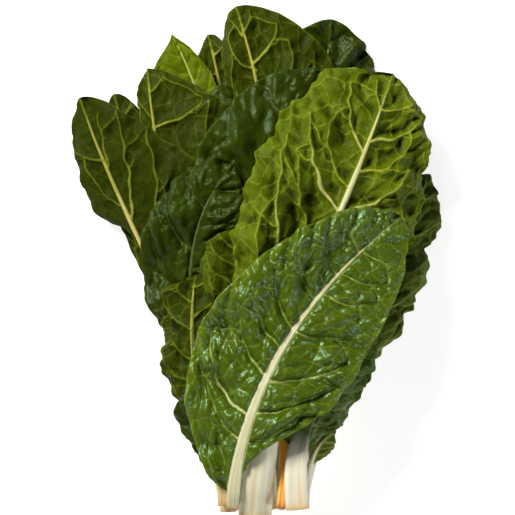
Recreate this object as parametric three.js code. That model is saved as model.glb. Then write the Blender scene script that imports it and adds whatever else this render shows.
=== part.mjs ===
import * as THREE from 'three';

// A bunch of white-stalked chard, cut at the root and laid flat on a table.
// Millimetres, +Z up. The cut stalks face -Y and the leaf tips reach towards +Y.
// Each leaf is two solids: a pale stalk that runs on as the midrib, and the green
// blade that grows out from both sides of it. The leaves are piled one by one.

const PLAN_CENTRE = [-2.75, 184.5]; // middle of the bunch in the layout of LEAVES below

const BLADE_THICKNESS = 1.2;
const RIB_CLEARANCE = 0.45;       // open joint on each side of the midrib
const RIB_END = 0.8;              // part of the blade's length that the midrib reaches
const RIB_END_WIDTH = 1.8;
const RIB_WIDTH_TAPER = 0.85;     // below 1 the midrib thins fastest near the stalk
const RIB_DEPTH_TAPER = 0.7;
const NECK_WIDTH = 0.6;           // stalk width where the blade starts, over that at the cut
const NECK_DEPTH = 0.75;          // the same for its depth
const STALK_TAPER = 2.5;          // above 1 a stalk narrows fastest near its blade
const UPPER_SHARE = 0.25;         // part of a stalk's depth above its widest line
const NARROWEST_HALF = 1.5;       // least width of a half blade beside the midrib
const TIP_START = 0.86;           // part of the blade's length where the tip's rounding starts
const TIP_SHARE = 0.4;            // part of the width that the last row keeps
const RIGHT_WAVE_LAG = 2;         // the two margins' waves are out of step, in radians
const LEAST_TURN = 0.01;          // radians; a section bends at least this much

const TABLE = { west: -240, south: -30, width: 480, depth: 440 }; // room for the pile
const PILE_CLEARANCE = 2.8;       // air between a leaf and the leaves under it
const CELL_REACH = 0.6;           // a point also clears the pile this far around it
const FACET_STEP = 0.7;           // spacing of the points that test a facet
const SETTLE_PASSES = 60;
const SPINE_SAG = 1.2;            // how far a raised spine may sag between its neighbours
const BLADE_SAG = 1.8;            // the same for the softer blade

const BLADE_ROWS = 10;
const HALF_COLUMNS = 3;
const STALK_STEP = 26;
const RING_POINTS = 8;

const CREAM = { color: '#e6e2c8', roughness: 0.4, metalness: 0 };
const TAN = { color: '#cdb98a', roughness: 0.5, metalness: 0 };
const OCHRE = { color: '#c08a3c', roughness: 0.55, metalness: 0 };
const DARK_GREEN = { color: '#3c5a1c', roughness: 0.35, metalness: 0 };
const LIGHT_GREEN = { color: '#67803a', roughness: 0.55, metalness: 0 };
const YOUNG_GREEN = { color: '#8c9c3c', roughness: 0.5, metalness: 0 };

// The leaves from the table up. The spine is a cubic curve: cut end, two handles, tip.
// petiole: bare stalk up to the blade. stalk: width and depth at the cut.
// neck: stalk width where the blade starts over that at the cut, if not NECK_WIDTH.
// left, right: half-widths of the flattened blade at every eighth of its length, before
// the tip is rounded.
// bend: degrees for the left and right half, first at the midrib and then added up to
// the margin; above zero is upwards. roll: degrees about the spine at the cut and tip.
// wave: height, length and start of the margin's slow waves. faces: where the glossy
// upper side points.
const LEAVES = [
  {
    name: 'back_middle', green: DARK_GREEN, faces: 'down',
    spine: [[4, 3, 5], [14, 113, 6], [22, 224, 5], [34, 330, 4]],
    petiole: 105, stalk: [16, 8],
    left: [3, 24, 40, 50, 54, 52, 45, 34, 22], right: [3, 24, 40, 50, 54, 52, 45, 34, 22],
    bend: [[2, 8], [2, 8]], roll: [0, 0], wave: [4, 80, 0],
  },
  {
    name: 'back_left', green: DARK_GREEN, faces: 'down',
    spine: [[-14, 5, 5], [-30, 94, 7], [-50, 180, 6], [-88, 268, 4]],
    petiole: 90, stalk: [15, 8],
    left: [3, 14, 20, 24, 26, 26, 24, 20, 15], right: [3, 22, 38, 48, 52, 48, 40, 30, 20],
    bend: [[4, 20], [2, 6]], roll: [0, 0], wave: [4, 75, 1],
  },
  {
    name: 'back_right', green: DARK_GREEN, faces: 'down',
    spine: [[24, 5, 5], [44, 79, 7], [74, 142, 6], [104, 222, 4]],
    petiole: 80, stalk: [16, 8],
    left: [3, 22, 36, 46, 50, 46, 39, 29, 20], right: [3, 8, 14, 20, 26, 28, 26, 21, 15],
    bend: [[2, 4], [4, 18]], roll: [0, 0], wave: [4, 70, 2],
  },
  {
    name: 'top_right', green: DARK_GREEN, faces: 'up',
    spine: [[8, 4, 15], [24, 121, 15], [46, 239, 12], [56, 352, 8]],
    petiole: 200, stalk: [12, 8],
    left: [3, 16, 26, 32, 38, 40, 38, 32, 25], right: [3, 16, 26, 36, 42, 41, 36, 28, 20],
    bend: [[4, 8], [-4, -20]], roll: [0, 2], wave: [4, 64, 0],
  },
  {
    name: 'grey_tip', green: LIGHT_GREEN, faces: 'down',
    spine: [[-7, 4, 15], [-8, 119, 15], [-6, 236, 12], [-36, 347, 10]],
    petiole: 205, stalk: [12, 8],
    left: [3, 12, 18, 22, 24, 21, 18, 14, 10], right: [3, 14, 24, 30, 32, 28, 22, 16, 11],
    bend: [[0, -20], [4, 10]], roll: [0, 0], wave: [3, 60, 1],
  },
  {
    name: 'far_tip', green: DARK_GREEN, faces: 'down',
    spine: [[-21, 4, 15], [-46, 101, 16], [-76, 198, 14], [-104, 304, 10]],
    petiole: 150, stalk: [11, 7],
    left: [3, 12, 17, 20, 21, 19, 16, 13, 10], right: [3, 12, 18, 21, 22, 21, 20, 17, 13],
    bend: [[0, -10], [0, 10]], roll: [0, 0], wave: [3, 60, 2],
  },
  {
    name: 'right_low', green: LIGHT_GREEN, faces: 'down',
    spine: [[30, 6, 15], [46, 66, 18], [76, 106, 14], [102, 171, 6]],
    petiole: 58, stalk: [12, 8],
    left: [3, 18, 28, 34, 36, 34, 29, 22, 15], right: [3, 4, 6, 9, 14, 21, 24, 20, 15],
    bend: [[4, 6], [-8, -36]], roll: [0, 6], wave: [5, 52, 0],
  },
  {
    name: 'right_high', green: LIGHT_GREEN, faces: 'down',
    spine: [[27, 5, 25], [38, 93, 28], [82, 156, 26], [125, 246, 14]],
    petiole: 88, stalk: [13, 8],
    left: [3, 22, 34, 42, 46, 42, 35, 25, 16], right: [3, 14, 22, 28, 30, 29, 25, 18, 12],
    bend: [[2, -6], [-8, -40]], roll: [0, 8], wave: [5, 56, 1],
  },
  {
    name: 'pointed', green: YOUNG_GREEN, faces: 'up',
    spine: [[-2, 3, 25], [-2, 120, 28], [-3, 242, 24], [-63, 346, 18]],
    petiole: 245, stalk: [10, 7],
    left: [2, 12, 18, 22, 24, 23, 19, 11, 2], right: [2, 12, 18, 22, 24, 23, 19, 11, 2],
    bend: [[10, 4], [10, 4]], roll: [0, 0], wave: [2, 60, 0],
  },
  {
    name: 'shaded', green: DARK_GREEN, faces: 'up',
    spine: [[11, 4, 25], [0, 110, 30], [-14, 220, 26], [-17, 320, 22]],
    petiole: 200, stalk: [10, 7],
    left: [2, 14, 22, 28, 31, 31, 27, 18, 3], right: [2, 14, 22, 28, 30, 28, 22, 14, 3],
    bend: [[0, -14], [0, -10]], roll: [0, 0], wave: [3, 50, 0],
  },
  {
    name: 'second_left', green: LIGHT_GREEN, faces: 'down',
    spine: [[-16, 3, 25], [-40, 107, 34], [-68, 212, 30], [-80, 322, 22]],
    petiole: 150, stalk: [12, 8],
    left: [3, 13, 18, 19, 19, 17, 13, 9, 6], right: [3, 28, 46, 58, 68, 74, 67, 50, 34],
    bend: [[-4, -34], [4, 2]], roll: [0, 0], wave: [4, 64, 1],
  },
  {
    name: 'top_middle', green: LIGHT_GREEN, faces: 'down',
    spine: [[-4, 3, 35], [13, 125, 36], [24, 252, 32], [-16, 367, 24]],
    petiole: 185, stalk: [13, 8],
    left: [3, 20, 26, 27, 24, 20, 18, 18, 17], right: [3, 30, 48, 60, 65, 62, 53, 40, 28],
    bend: [[-4, -26], [4, -6]], roll: [0, 0], wave: [4, 60, 2],
  },
  {
    name: 'far_left', green: DARK_GREEN, faces: 'down',
    spine: [[-21, 2, 35], [-38, 97, 38], [-100, 190, 36], [-124, 300, 24]],
    petiole: 108, stalk: [12, 8],
    left: [3, 3, 4, 5, 7, 20, 24, 21, 16], right: [3, 26, 44, 58, 66, 64, 52, 38, 26],
    bend: [[-10, -30], [6, 6]], roll: [0, -2], wave: [4, 62, 0],
  },
  {
    name: 'middle', green: DARK_GREEN, faces: 'up', pale: OCHRE,
    spine: [[15.6, 6, 69], [31, 95, 48], [-26, 226, 44], [50, 317, 32]],
    petiole: 112, stalk: [8.5, 8], neck: 1,
    left: [3, 26, 42, 54, 60, 60, 52, 40, 28], right: [3, 20, 30, 34, 34, 32, 28, 22, 16],
    bend: [[-4, -12], [2, -6]], roll: [0, 0], wave: [3, 66, 1],
  },
  {
    name: 'small_twist', green: LIGHT_GREEN, faces: 'down',
    spine: [[34, 10, 35], [35, 36, 38], [43, 55, 40], [57, 60, 36]],
    petiole: 28, stalk: [7, 6],
    left: [2, 4, 6, 7, 7, 6, 5, 4, 2], right: [2, 6, 10, 12, 13, 13, 12, 8, 2],
    bend: [[10, 30], [-20, -40]], roll: [0, 10], wave: [1.5, 40, 0],
  },
  {
    name: 'glossy_right', green: DARK_GREEN, faces: 'up',
    spine: [[28.6, 5, 70], [23, 46, 64], [44, 62, 50], [84, 122, 28]],
    petiole: 42, stalk: [17, 9], neck: 0.38,
    left: [11, 15, 22, 27, 29, 28, 25, 19, 13], right: [3, 6, 9, 12, 15, 18, 18, 15, 11],
    bend: [[2, 6], [-16, -46]], roll: [0, 6], wave: [4, 46, 2],
  },
  {
    name: 'folded', green: DARK_GREEN, faces: 'up',
    spine: [[-20, 5, 45], [-34, 86, 52], [-78, 183, 56], [-18, 252, 44]],
    petiole: 50, stalk: [11, 7],
    left: [3, 10, 14, 20, 30, 38, 39, 33, 26], right: [3, 20, 30, 36, 40, 40, 37, 30, 22],
    bend: [[-10, -36], [8, 14]], roll: [0, -4], wave: [4, 58, 0],
  },
  {
    name: 'low_left', green: LIGHT_GREEN, faces: 'down',
    spine: [[-20, 6, 40], [-30, 50, 52], [-56, 100, 60], [-44, 176, 50]],
    petiole: 62, stalk: [13, 7],
    left: [4, 16, 25, 28, 27, 25, 24, 20, 14], right: [3, 16, 24, 28, 30, 29, 26, 20, 14],
    bend: [[-10, -44], [2, -6]], roll: [0, -4], wave: [4, 50, 1],
  },
  {
    name: 'low_front', green: DARK_GREEN, faces: 'up', pale: TAN,
    spine: [[-22, 7, 55], [-24, 40, 62], [-34, 68, 68], [-34, 118, 66]],
    petiole: 24, stalk: [13, 7],
    left: [3, 14, 19, 25, 27, 24, 18, 13, 9], right: [3, 10, 16, 20, 22, 20, 16, 12, 8],
    bend: [[4, -40], [2, 4]], roll: [0, 0], wave: [3, 40, 1],
  },
  {
    name: 'young', green: YOUNG_GREEN, faces: 'down',
    spine: [[-3, 8, 45], [-8, 73, 58], [-16, 139, 62], [-14, 207, 54]],
    petiole: 125, stalk: [8, 6],
    left: [2, 12, 20, 26, 30, 30, 27, 21, 14], right: [2, 8, 12, 14, 15, 14, 12, 10, 8],
    bend: [[-4, -26], [2, -6]], roll: [0, 0], wave: [3, 44, 0],
  },
  {
    name: 'broad', green: LIGHT_GREEN, faces: 'down',
    spine: [[-1.5, 0, 55], [4, 112, 76], [64, 214, 82], [98, 319, 48]],
    petiole: 92, stalk: [25, 11],
    left: [4, 34, 54, 66, 72, 73, 68, 55, 44], right: [4, 26, 42, 52, 58, 60, 56, 45, 33],
    bend: [[-2, -14], [-2, -32]], roll: [0, 0], wave: [4, 74, 0],
  },
  {
    name: 'front', green: DARK_GREEN, faces: 'up',
    spine: [[-18, 5, 64], [-14, 93, 86], [39, 165, 94], [103, 214, 64]],
    petiole: 12, stalk: [8.5, 7], neck: 0.95,
    left: [2, 7, 44, 57, 57, 51, 42, 32, 22], right: [2, 11, 37, 52, 54, 52, 46, 36, 25],
    bend: [[4, -24], [4, -26]], roll: [0, 2], wave: [3, 76, 2],
  },
];

const AROUND = [[0, 0], [CELL_REACH, 0], [-CELL_REACH, 0], [0, CELL_REACH], [0, -CELL_REACH]];

// Height of the pile so far over each square millimetre of the table.
class Pile {
  constructor() {
    this.height = new Float32Array(TABLE.width * TABLE.depth);
  }

  cell(x, y) {
    const column = Math.floor(x - TABLE.west);
    const row = Math.floor(y - TABLE.south);
    return row * TABLE.width + column;
  }

  // How far a point must rise to clear what lies under it.
  need(point) {
    let top = 0;
    for (const [dx, dy] of AROUND) {
      top = Math.max(top, this.height[this.cell(point.x + dx, point.y + dy)]);
    }
    return (top > 0 ? top + PILE_CLEARANCE : 0) - point.z;
  }

  cover(point) {
    const cell = this.cell(point.x, point.y);
    this.height[cell] = Math.max(this.height[cell], point.z);
  }
}

// Visits closely spaced points over a facet of four corners, which is two triangles that
// meet along the line from its first corner to its third.
function overFacet(corners, visit) {
  const [a, b, c, d] = corners;
  const across = Math.ceil(Math.max(a.distanceTo(b), d.distanceTo(c)) / FACET_STEP);
  const along = Math.ceil(Math.max(a.distanceTo(d), b.distanceTo(c)) / FACET_STEP);
  const point = new THREE.Vector3();
  for (let i = 0; i <= across; i++) {
    for (let j = 0; j <= along; j++) {
      const u = i / across;
      const v = j / along;
      const corner = u >= v ? b : d;
      point.copy(a).multiplyScalar(1 - Math.max(u, v));
      point.addScaledVector(corner, Math.abs(u - v)).addScaledVector(c, Math.min(u, v));
      visit(point);
    }
  }
}

const SKYWARD = new THREE.Vector3(0, 0, 1);
const radians = THREE.MathUtils.degToRad;
const mix = THREE.MathUtils.lerp;

// Value at a fraction of the way along evenly spaced stations, on a smooth curve.
function alongStations(values, fraction) {
  const at = fraction * (values.length - 1);
  const i = Math.min(Math.floor(at), values.length - 2);
  const t = at - i;
  const p0 = values[Math.max(i - 1, 0)];
  const p1 = values[i];
  const p2 = values[i + 1];
  const p3 = values[Math.min(i + 2, values.length - 1)];
  const bow = (2 * p0 - 5 * p1 + 4 * p2 - p3) * t * t + (3 * p1 - p0 - 3 * p2 + p3) * t ** 3;
  return p1 + 0.5 * ((p2 - p0) * t + bow);
}

// The place and directions of the spine at a distance from the cut.
function frameAt(leaf, curve, length, distance) {
  const fraction = Math.min(distance / length, 1);
  const place = curve.getPointAt(fraction);
  const forward = curve.getTangentAt(fraction);
  const right = new THREE.Vector3().crossVectors(forward, SKYWARD).normalize();
  const up = new THREE.Vector3().crossVectors(right, forward);
  const roll = radians(mix(leaf.roll[0], leaf.roll[1], fraction));
  const side = right.clone().multiplyScalar(Math.cos(roll)).addScaledVector(up, Math.sin(roll));
  const normal = up.multiplyScalar(Math.cos(roll)).addScaledVector(right, -Math.sin(roll));
  return { place, side, normal };
}

// Half the width of the stalk, and then of the midrib, at a distance from the cut.
function ribHalf(leaf, bladeLength, distance) {
  const neck = leaf.stalk[0] * (leaf.neck ?? NECK_WIDTH);
  if (distance < leaf.petiole) {
    return mix(leaf.stalk[0], neck, (distance / leaf.petiole) ** STALK_TAPER) / 2;
  }
  const along = (distance - leaf.petiole) / (bladeLength * RIB_END);
  return mix(neck, RIB_END_WIDTH, Math.min(along, 1) ** RIB_WIDTH_TAPER) / 2;
}

function ribDepth(leaf, bladeLength, distance) {
  const neck = leaf.stalk[1] * NECK_DEPTH;
  if (distance < leaf.petiole) {
    return mix(leaf.stalk[1], neck, distance / leaf.petiole);
  }
  const along = (distance - leaf.petiole) / (bladeLength * RIB_END);
  return mix(neck, BLADE_THICKNESS, Math.min(along, 1) ** RIB_DEPTH_TAPER);
}

// How much of the half-width is left where the blade rounds off to its tip.
function tipShare(fraction) {
  const past = THREE.MathUtils.clamp((fraction - TIP_START) / (1 - TIP_START), 0, 1);
  return Math.max(Math.sqrt(1 - past ** 2), TIP_SHARE);
}

// A point of the blade: half is -1 for left and 1 for right, across runs from 0 at the
// midrib to 1 at the margin, and level is the height above the blade's middle layer.
function bladePoint(leaf, row, half, across, level) {
  const { place, side, normal, rib, distance, fraction } = row;
  const widths = half < 0 ? leaf.left : leaf.right;
  const [start, added] = leaf.bend[half < 0 ? 0 : 1].map(radians);
  const turn = Math.abs(added) < LEAST_TURN ? LEAST_TURN : added;
  const halfWidth = alongStations(widths, fraction) * tipShare(fraction);
  const span = Math.max(halfWidth - rib, NARROWEST_HALF);
  const radius = span / turn;
  const out = radius * (Math.sin(start + turn * across) - Math.sin(start));
  let rise = radius * (Math.cos(start) - Math.cos(start + turn * across));
  const [height, wavelength, phase] = leaf.wave;
  const lag = half < 0 ? 0 : RIGHT_WAVE_LAG;
  const swing = Math.sin(2 * Math.PI * distance / wavelength + phase + lag);
  rise += height * across ** 2 * swing * Math.sin(Math.PI * fraction);
  return place.clone()
    .addScaledVector(side, half * (rib + RIB_CLEARANCE + out))
    .addScaledVector(normal, rise + level);
}

// The section of the stalk: nearly flat on the leaf's upper side, round on the other.
function ringPoint(leaf, row, index) {
  const angle = 2 * Math.PI * index / RING_POINTS;
  const turned = leaf.faces === 'up' ? 1 : -1;
  const upper = Math.sin(angle) * turned > 0;
  const share = upper ? UPPER_SHARE : UPPER_SHARE - 1;
  const level = BLADE_THICKNESS / 2 + row.depth * (share * Math.abs(Math.sin(angle)) - UPPER_SHARE);
  return row.place.clone()
    .addScaledVector(row.side, row.rib * Math.cos(angle))
    .addScaledVector(row.normal, turned * level);
}

// Rows of the stalk and of the blade along one leaf.
function leafRows(leaf) {
  const curve = new THREE.CubicBezierCurve3(...leaf.spine.map((p) => new THREE.Vector3(...p)));
  const length = curve.getLength();
  const bladeLength = length - leaf.petiole;
  const distances = [];
  const bareSteps = Math.ceil(leaf.petiole / STALK_STEP);
  for (let i = 0; i < bareSteps; i++) distances.push(leaf.petiole * i / bareSteps);
  for (let i = 0; i <= BLADE_ROWS; i++) distances.push(leaf.petiole + bladeLength * i / BLADE_ROWS);
  const rowAt = (distance) => ({
    ...frameAt(leaf, curve, length, distance),
    distance,
    fraction: Math.max(distance - leaf.petiole, 0) / bladeLength,
    rib: ribHalf(leaf, bladeLength, distance),
    depth: ribDepth(leaf, bladeLength, distance),
  });
  const ribRow = bareSteps + Math.round(BLADE_ROWS * RIB_END);
  const ribTip = rowAt(distances[ribRow] - 2 * RIB_CLEARANCE);
  return { rows: distances.map(rowAt), firstBlade: bareSteps, ribRow, ribTip };
}

// Collects the leaf's points in place: rings along the stalk, and for each blade row the
// columns from the left margin to the right one, on the lower and the upper skin.
function leafPoints(leaf) {
  const shape = leafRows(leaf);
  const rings = [...shape.rows.slice(0, shape.ribRow), shape.ribTip].map((row) => {
    const ring = [];
    for (let k = 0; k < RING_POINTS; k++) ring.push(ringPoint(leaf, row, k));
    return ring;
  });
  const skins = [-1, 1].map((face) => shape.rows.slice(shape.firstBlade).map((row) => {
    const points = [];
    for (let j = HALF_COLUMNS; j >= 0; j--) {
      points.push(bladePoint(leaf, row, -1, j / HALF_COLUMNS, face * BLADE_THICKNESS / 2));
    }
    for (let j = 0; j <= HALF_COLUMNS; j++) {
      points.push(bladePoint(leaf, row, 1, j / HALF_COLUMNS, face * BLADE_THICKNESS / 2));
    }
    return points;
  }));
  return { shape, rings, under: skins[0], over: skins[1] };
}

// Four-cornered facets of the blade as [row, column] pairs; the joint round the midrib
// stays open up to the row where the midrib ends.
function bladeFacets(shape) {
  const facets = [];
  const openRows = shape.ribRow - shape.firstBlade;
  for (let i = 0; i < BLADE_ROWS; i++) {
    for (let j = 0; j < 2 * HALF_COLUMNS + 1; j++) {
      if (j === HALF_COLUMNS && i < openRows) continue;
      facets.push([[i, j], [i, j + 1], [i + 1, j + 1], [i + 1, j]]);
    }
  }
  return facets;
}

// Raises a leaf just enough to clear the pile, bending no more sharply than a leaf does.
function settle(leaf, parts, pile) {
  const { shape, rings, under, over } = parts;
  const columns = 2 * HALF_COLUMNS + 2;
  const lifts = under.map(() => new Array(columns).fill(0));
  const spine = shape.rows.map(() => 0);
  const isInner = (j) => j === HALF_COLUMNS || j === HALF_COLUMNS + 1;
  for (const facet of bladeFacets(shape)) {
    let most = -Infinity;
    overFacet(facet.map(([i, j]) => under[i][j]), (p) => {
      most = Math.max(most, pile.need(p));
    });
    for (const [i, j] of facet) lifts[i][j] = Math.max(lifts[i][j], most);
  }
  for (let i = 0; i < rings.length - 1; i++) {
    let most = -Infinity;
    for (let k = 0; k < RING_POINTS; k++) {
      const next = (k + 1) % RING_POINTS;
      overFacet([rings[i][k], rings[i][next], rings[i + 1][next], rings[i + 1][k]], (p) => {
        most = Math.max(most, pile.need(p));
      });
    }
    spine[i] = Math.max(spine[i], most);
    spine[i + 1] = Math.max(spine[i + 1], most);
  }
  for (let pass = 0; pass < SETTLE_PASSES; pass++) {
    for (let i = 0; i < spine.length; i++) {
      const row = i - shape.firstBlade;
      if (row >= 0) {
        spine[i] = Math.max(spine[i], lifts[row][HALF_COLUMNS], lifts[row][HALF_COLUMNS + 1]);
        lifts[row][HALF_COLUMNS] = spine[i];
        lifts[row][HALF_COLUMNS + 1] = spine[i];
      }
      if (i > 0 && i < spine.length - 1) {
        spine[i] = Math.max(spine[i], (spine[i - 1] + spine[i + 1]) / 2 - SPINE_SAG);
      }
    }
    for (let i = 0; i < lifts.length; i++) {
      for (let j = 0; j < columns; j++) {
        if (isInner(j)) continue;
        const inward = lifts[i][j < HALF_COLUMNS ? j + 1 : j - 1];
        const outward = lifts[i][j < HALF_COLUMNS ? j - 1 : j + 1] ?? inward;
        const before = lifts[Math.max(i - 1, 0)][j];
        const after = lifts[Math.min(i + 1, lifts.length - 1)][j];
        const around = (inward + outward + before + after) / 4;
        lifts[i][j] = Math.max(lifts[i][j], around - BLADE_SAG);
      }
    }
  }
  for (let i = 0; i < rings.length; i++) {
    for (const point of rings[i]) point.z += spine[i];
  }
  for (let i = 0; i < under.length; i++) {
    for (let j = 0; j < columns; j++) {
      under[i][j].z += lifts[i][j];
      over[i][j].z += lifts[i][j];
    }
  }
  for (const facet of bladeFacets(shape)) {
    overFacet(facet.map(([i, j]) => over[i][j]), (p) => pile.cover(p));
  }
  for (let i = 0; i < rings.length - 1; i++) {
    for (let k = 0; k < RING_POINTS; k++) {
      const next = (k + 1) % RING_POINTS;
      const facet = [rings[i][k], rings[i][next], rings[i + 1][next], rings[i + 1][k]];
      overFacet(facet, (p) => pile.cover(p));
    }
  }
}

// A mesh from points and faces of three or more corners, fanned from the first corner.
function solid(name, material, points, faces) {
  const geometry = new THREE.BufferGeometry();
  geometry.setAttribute('position', new THREE.Float32BufferAttribute(
    points.flatMap((p) => [p.x, p.y, p.z]), 3));
  const index = [];
  for (const face of faces) {
    for (let k = 1; k < face.length - 1; k++) index.push(face[0], face[k], face[k + 1]);
  }
  geometry.setIndex(index);
  geometry.computeVertexNormals();
  const mesh = new THREE.Mesh(geometry, new THREE.MeshStandardMaterial(material));
  mesh.name = name;
  return mesh;
}

function stalkMesh(leaf, rings) {
  const faces = [];
  const n = RING_POINTS;
  for (let i = 0; i < rings.length - 1; i++) {
    for (let k = 0; k < n; k++) {
      const next = (k + 1) % n;
      faces.push([i * n + k, (i + 1) * n + k, (i + 1) * n + next, i * n + next]);
    }
  }
  const last = (rings.length - 1) * n;
  faces.push([...Array(n).keys()]);
  faces.push([...Array(n).keys()].map((k) => last + k).reverse());
  return solid(`${leaf.name}_stalk`, leaf.pale ?? CREAM, rings.flat(), faces);
}

// Both skins, and a wall along every edge that only one facet of a skin uses.
function bladeMesh(leaf, parts) {
  const { shape, under, over } = parts;
  const columns = 2 * HALF_COLUMNS + 2;
  const id = ([i, j]) => i * columns + j;
  const lower = under.length * columns;
  const faces = [];
  const edges = new Map();
  for (const facet of bladeFacets(shape)) {
    const top = facet.map(id);
    faces.push(top);
    faces.push([top[0], top[3], top[2], top[1]].map((v) => v + lower));
    top.forEach((v, k) => {
      const w = top[(k + 1) % 4];
      if (edges.has(`${w} ${v}`)) edges.delete(`${w} ${v}`);
      else edges.set(`${v} ${w}`, [v, w]);
    });
  }
  for (const [v, w] of edges.values()) faces.push([w, v, v + lower, w + lower]);
  return solid(`${leaf.name}_blade`, leaf.green, [...over.flat(), ...under.flat()], faces);
}

const bunch = new THREE.Group();
const pile = new Pile();
for (const leaf of LEAVES) {
  const parts = leafPoints(leaf);
  settle(leaf, parts, pile);
  bunch.add(stalkMesh(leaf, parts.rings));
  bunch.add(bladeMesh(leaf, parts));
}

const box = new THREE.Box3().setFromObject(bunch);
bunch.position.set(-PLAN_CENTRE[0], -PLAN_CENTRE[1], -box.min.z);
bunch.updateMatrixWorld(true);

export default bunch;
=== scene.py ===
import bpy
import numpy as np
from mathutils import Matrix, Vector


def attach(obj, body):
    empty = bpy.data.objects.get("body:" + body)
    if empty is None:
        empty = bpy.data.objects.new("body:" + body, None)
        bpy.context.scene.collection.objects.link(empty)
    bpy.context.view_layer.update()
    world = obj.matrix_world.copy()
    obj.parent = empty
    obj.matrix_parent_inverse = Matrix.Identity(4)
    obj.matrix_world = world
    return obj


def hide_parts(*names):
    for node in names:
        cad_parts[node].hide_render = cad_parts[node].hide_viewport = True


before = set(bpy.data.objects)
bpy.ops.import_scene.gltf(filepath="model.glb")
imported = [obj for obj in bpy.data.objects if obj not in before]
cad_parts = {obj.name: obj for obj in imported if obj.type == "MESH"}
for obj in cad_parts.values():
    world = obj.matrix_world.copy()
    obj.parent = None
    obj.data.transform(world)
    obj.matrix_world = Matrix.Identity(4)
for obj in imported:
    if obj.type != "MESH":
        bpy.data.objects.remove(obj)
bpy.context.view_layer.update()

# ---- The three back leaves -------------------------------------------------------------
# The bunch lies on these three leaves, glossy side down. Each leaf is one fleshy stalk that
# runs on as the midrib, with a thin crinkled blade grown on both sides of it. Nothing ties
# them: they are piled from the table up and settle on each other. Lengths are in mm.

# The course of a leaf: a cubic spine from the cut end to the tip.


def curve_through(values, place):
    """Smooth curve through evenly spaced values, Catmull and Rom's cubic; place is 0 to 1."""
    values = np.asarray(values, float)
    last = len(values) - 1
    at = np.clip(place, 0, 1) * last
    i = np.minimum(at.astype(int), last - 1)
    t = at - i
    picks = [np.clip(i + k, 0, last) for k in (-1, 0, 1, 2)]
    if values.ndim == 1:
        p0, p1, p2, p3 = [values[k] for k in picks]
    else:
        p0, p1, p2, p3 = [np.take_along_axis(values, k, axis=0) for k in picks]
    bow = (2 * p0 - 5 * p1 + 4 * p2 - p3) * t**2 + (3 * p1 - p0 - 3 * p2 + p3) * t**3
    return p1 + 0.5 * ((p2 - p0) * t + bow)


def spine_length(spine):
    """Length of the cubic spine, as the sum of 400 short chords."""
    t = np.linspace(0, 1, 401)[:, None]
    p = np.array(spine, float)
    curve = (1 - t)**3 * p[0] + 3 * t * (1 - t)**2 * p[1] + 3 * t**2 * (1 - t) * p[2] + t**3 * p[3]
    return np.r_[0, np.cumsum(np.linalg.norm(np.diff(curve, axis=0), axis=1))]


def spine_frames(spine, roll, distance):
    """Place, sideways and upward direction at distances along the cubic spine: forward is
    the curve's slope, sideways is forward x up, and both turn about forward by the roll."""
    lengths = spine_length(spine)
    t = np.interp(distance, lengths, np.linspace(0, 1, len(lengths)))[:, None]
    p = np.array(spine, float)
    place = (1 - t)**3 * p[0] + 3 * t * (1 - t)**2 * p[1] + 3 * t**2 * (1 - t) * p[2] + t**3 * p[3]
    slope = (1 - t)**2 * (p[1] - p[0]) + 2 * t * (1 - t) * (p[2] - p[1]) + t**2 * (p[3] - p[2])
    forward = slope / np.linalg.norm(slope, axis=1)[:, None]
    sideways = np.cross(forward, [0, 0, 1])
    sideways /= np.linalg.norm(sideways, axis=1)[:, None]
    upward = np.cross(sideways, forward)
    turn = np.radians(roll[0] + (roll[1] - roll[0]) * distance / lengths[-1])[:, None]
    side = np.cos(turn) * sideways + np.sin(turn) * upward
    normal = np.cos(turn) * upward - np.sin(turn) * sideways
    return place, side, normal


# The stalk and midrib: widths and depths along the spine, and the rings of the surface.

NECK_DEPTH = 0.75           # depth where the blade begins, over that at the cut
RIB_END = 0.86              # share of the blade that the midrib runs up
RIB_END_WIDTH = 0.9         # there it has thinned to this
RIB_END_DEPTH = 0.8
RIB_TURNS = 28              # points round the stalk
RING_STEP = 2.5             # between two rings of the bare stalk
BLADE_THICKNESS = 0.6


def rib_size(stalk, neck, petiole, blade, distance):
    """Half-width and depth of the stalk and midrib: straight tapers to the blade's start,
    then powers of the share of the blade passed."""
    bare = np.clip(distance / petiole, 0, 1)
    on = np.clip((distance - petiole) / (blade * RIB_END), 0, 1)
    neck_width = stalk[0] * neck
    wide = stalk[0] + (neck_width - stalk[0]) * bare**2.5
    wide = np.where(distance > petiole, neck_width + (RIB_END_WIDTH - neck_width) * on**0.85, wide)
    neck_depth = stalk[1] * NECK_DEPTH
    deep = stalk[1] + (neck_depth - stalk[1]) * bare
    deep = np.where(distance > petiole, neck_depth + (RIB_END_DEPTH - neck_depth) * on**0.7, deep)
    return wide / 2, deep


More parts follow.
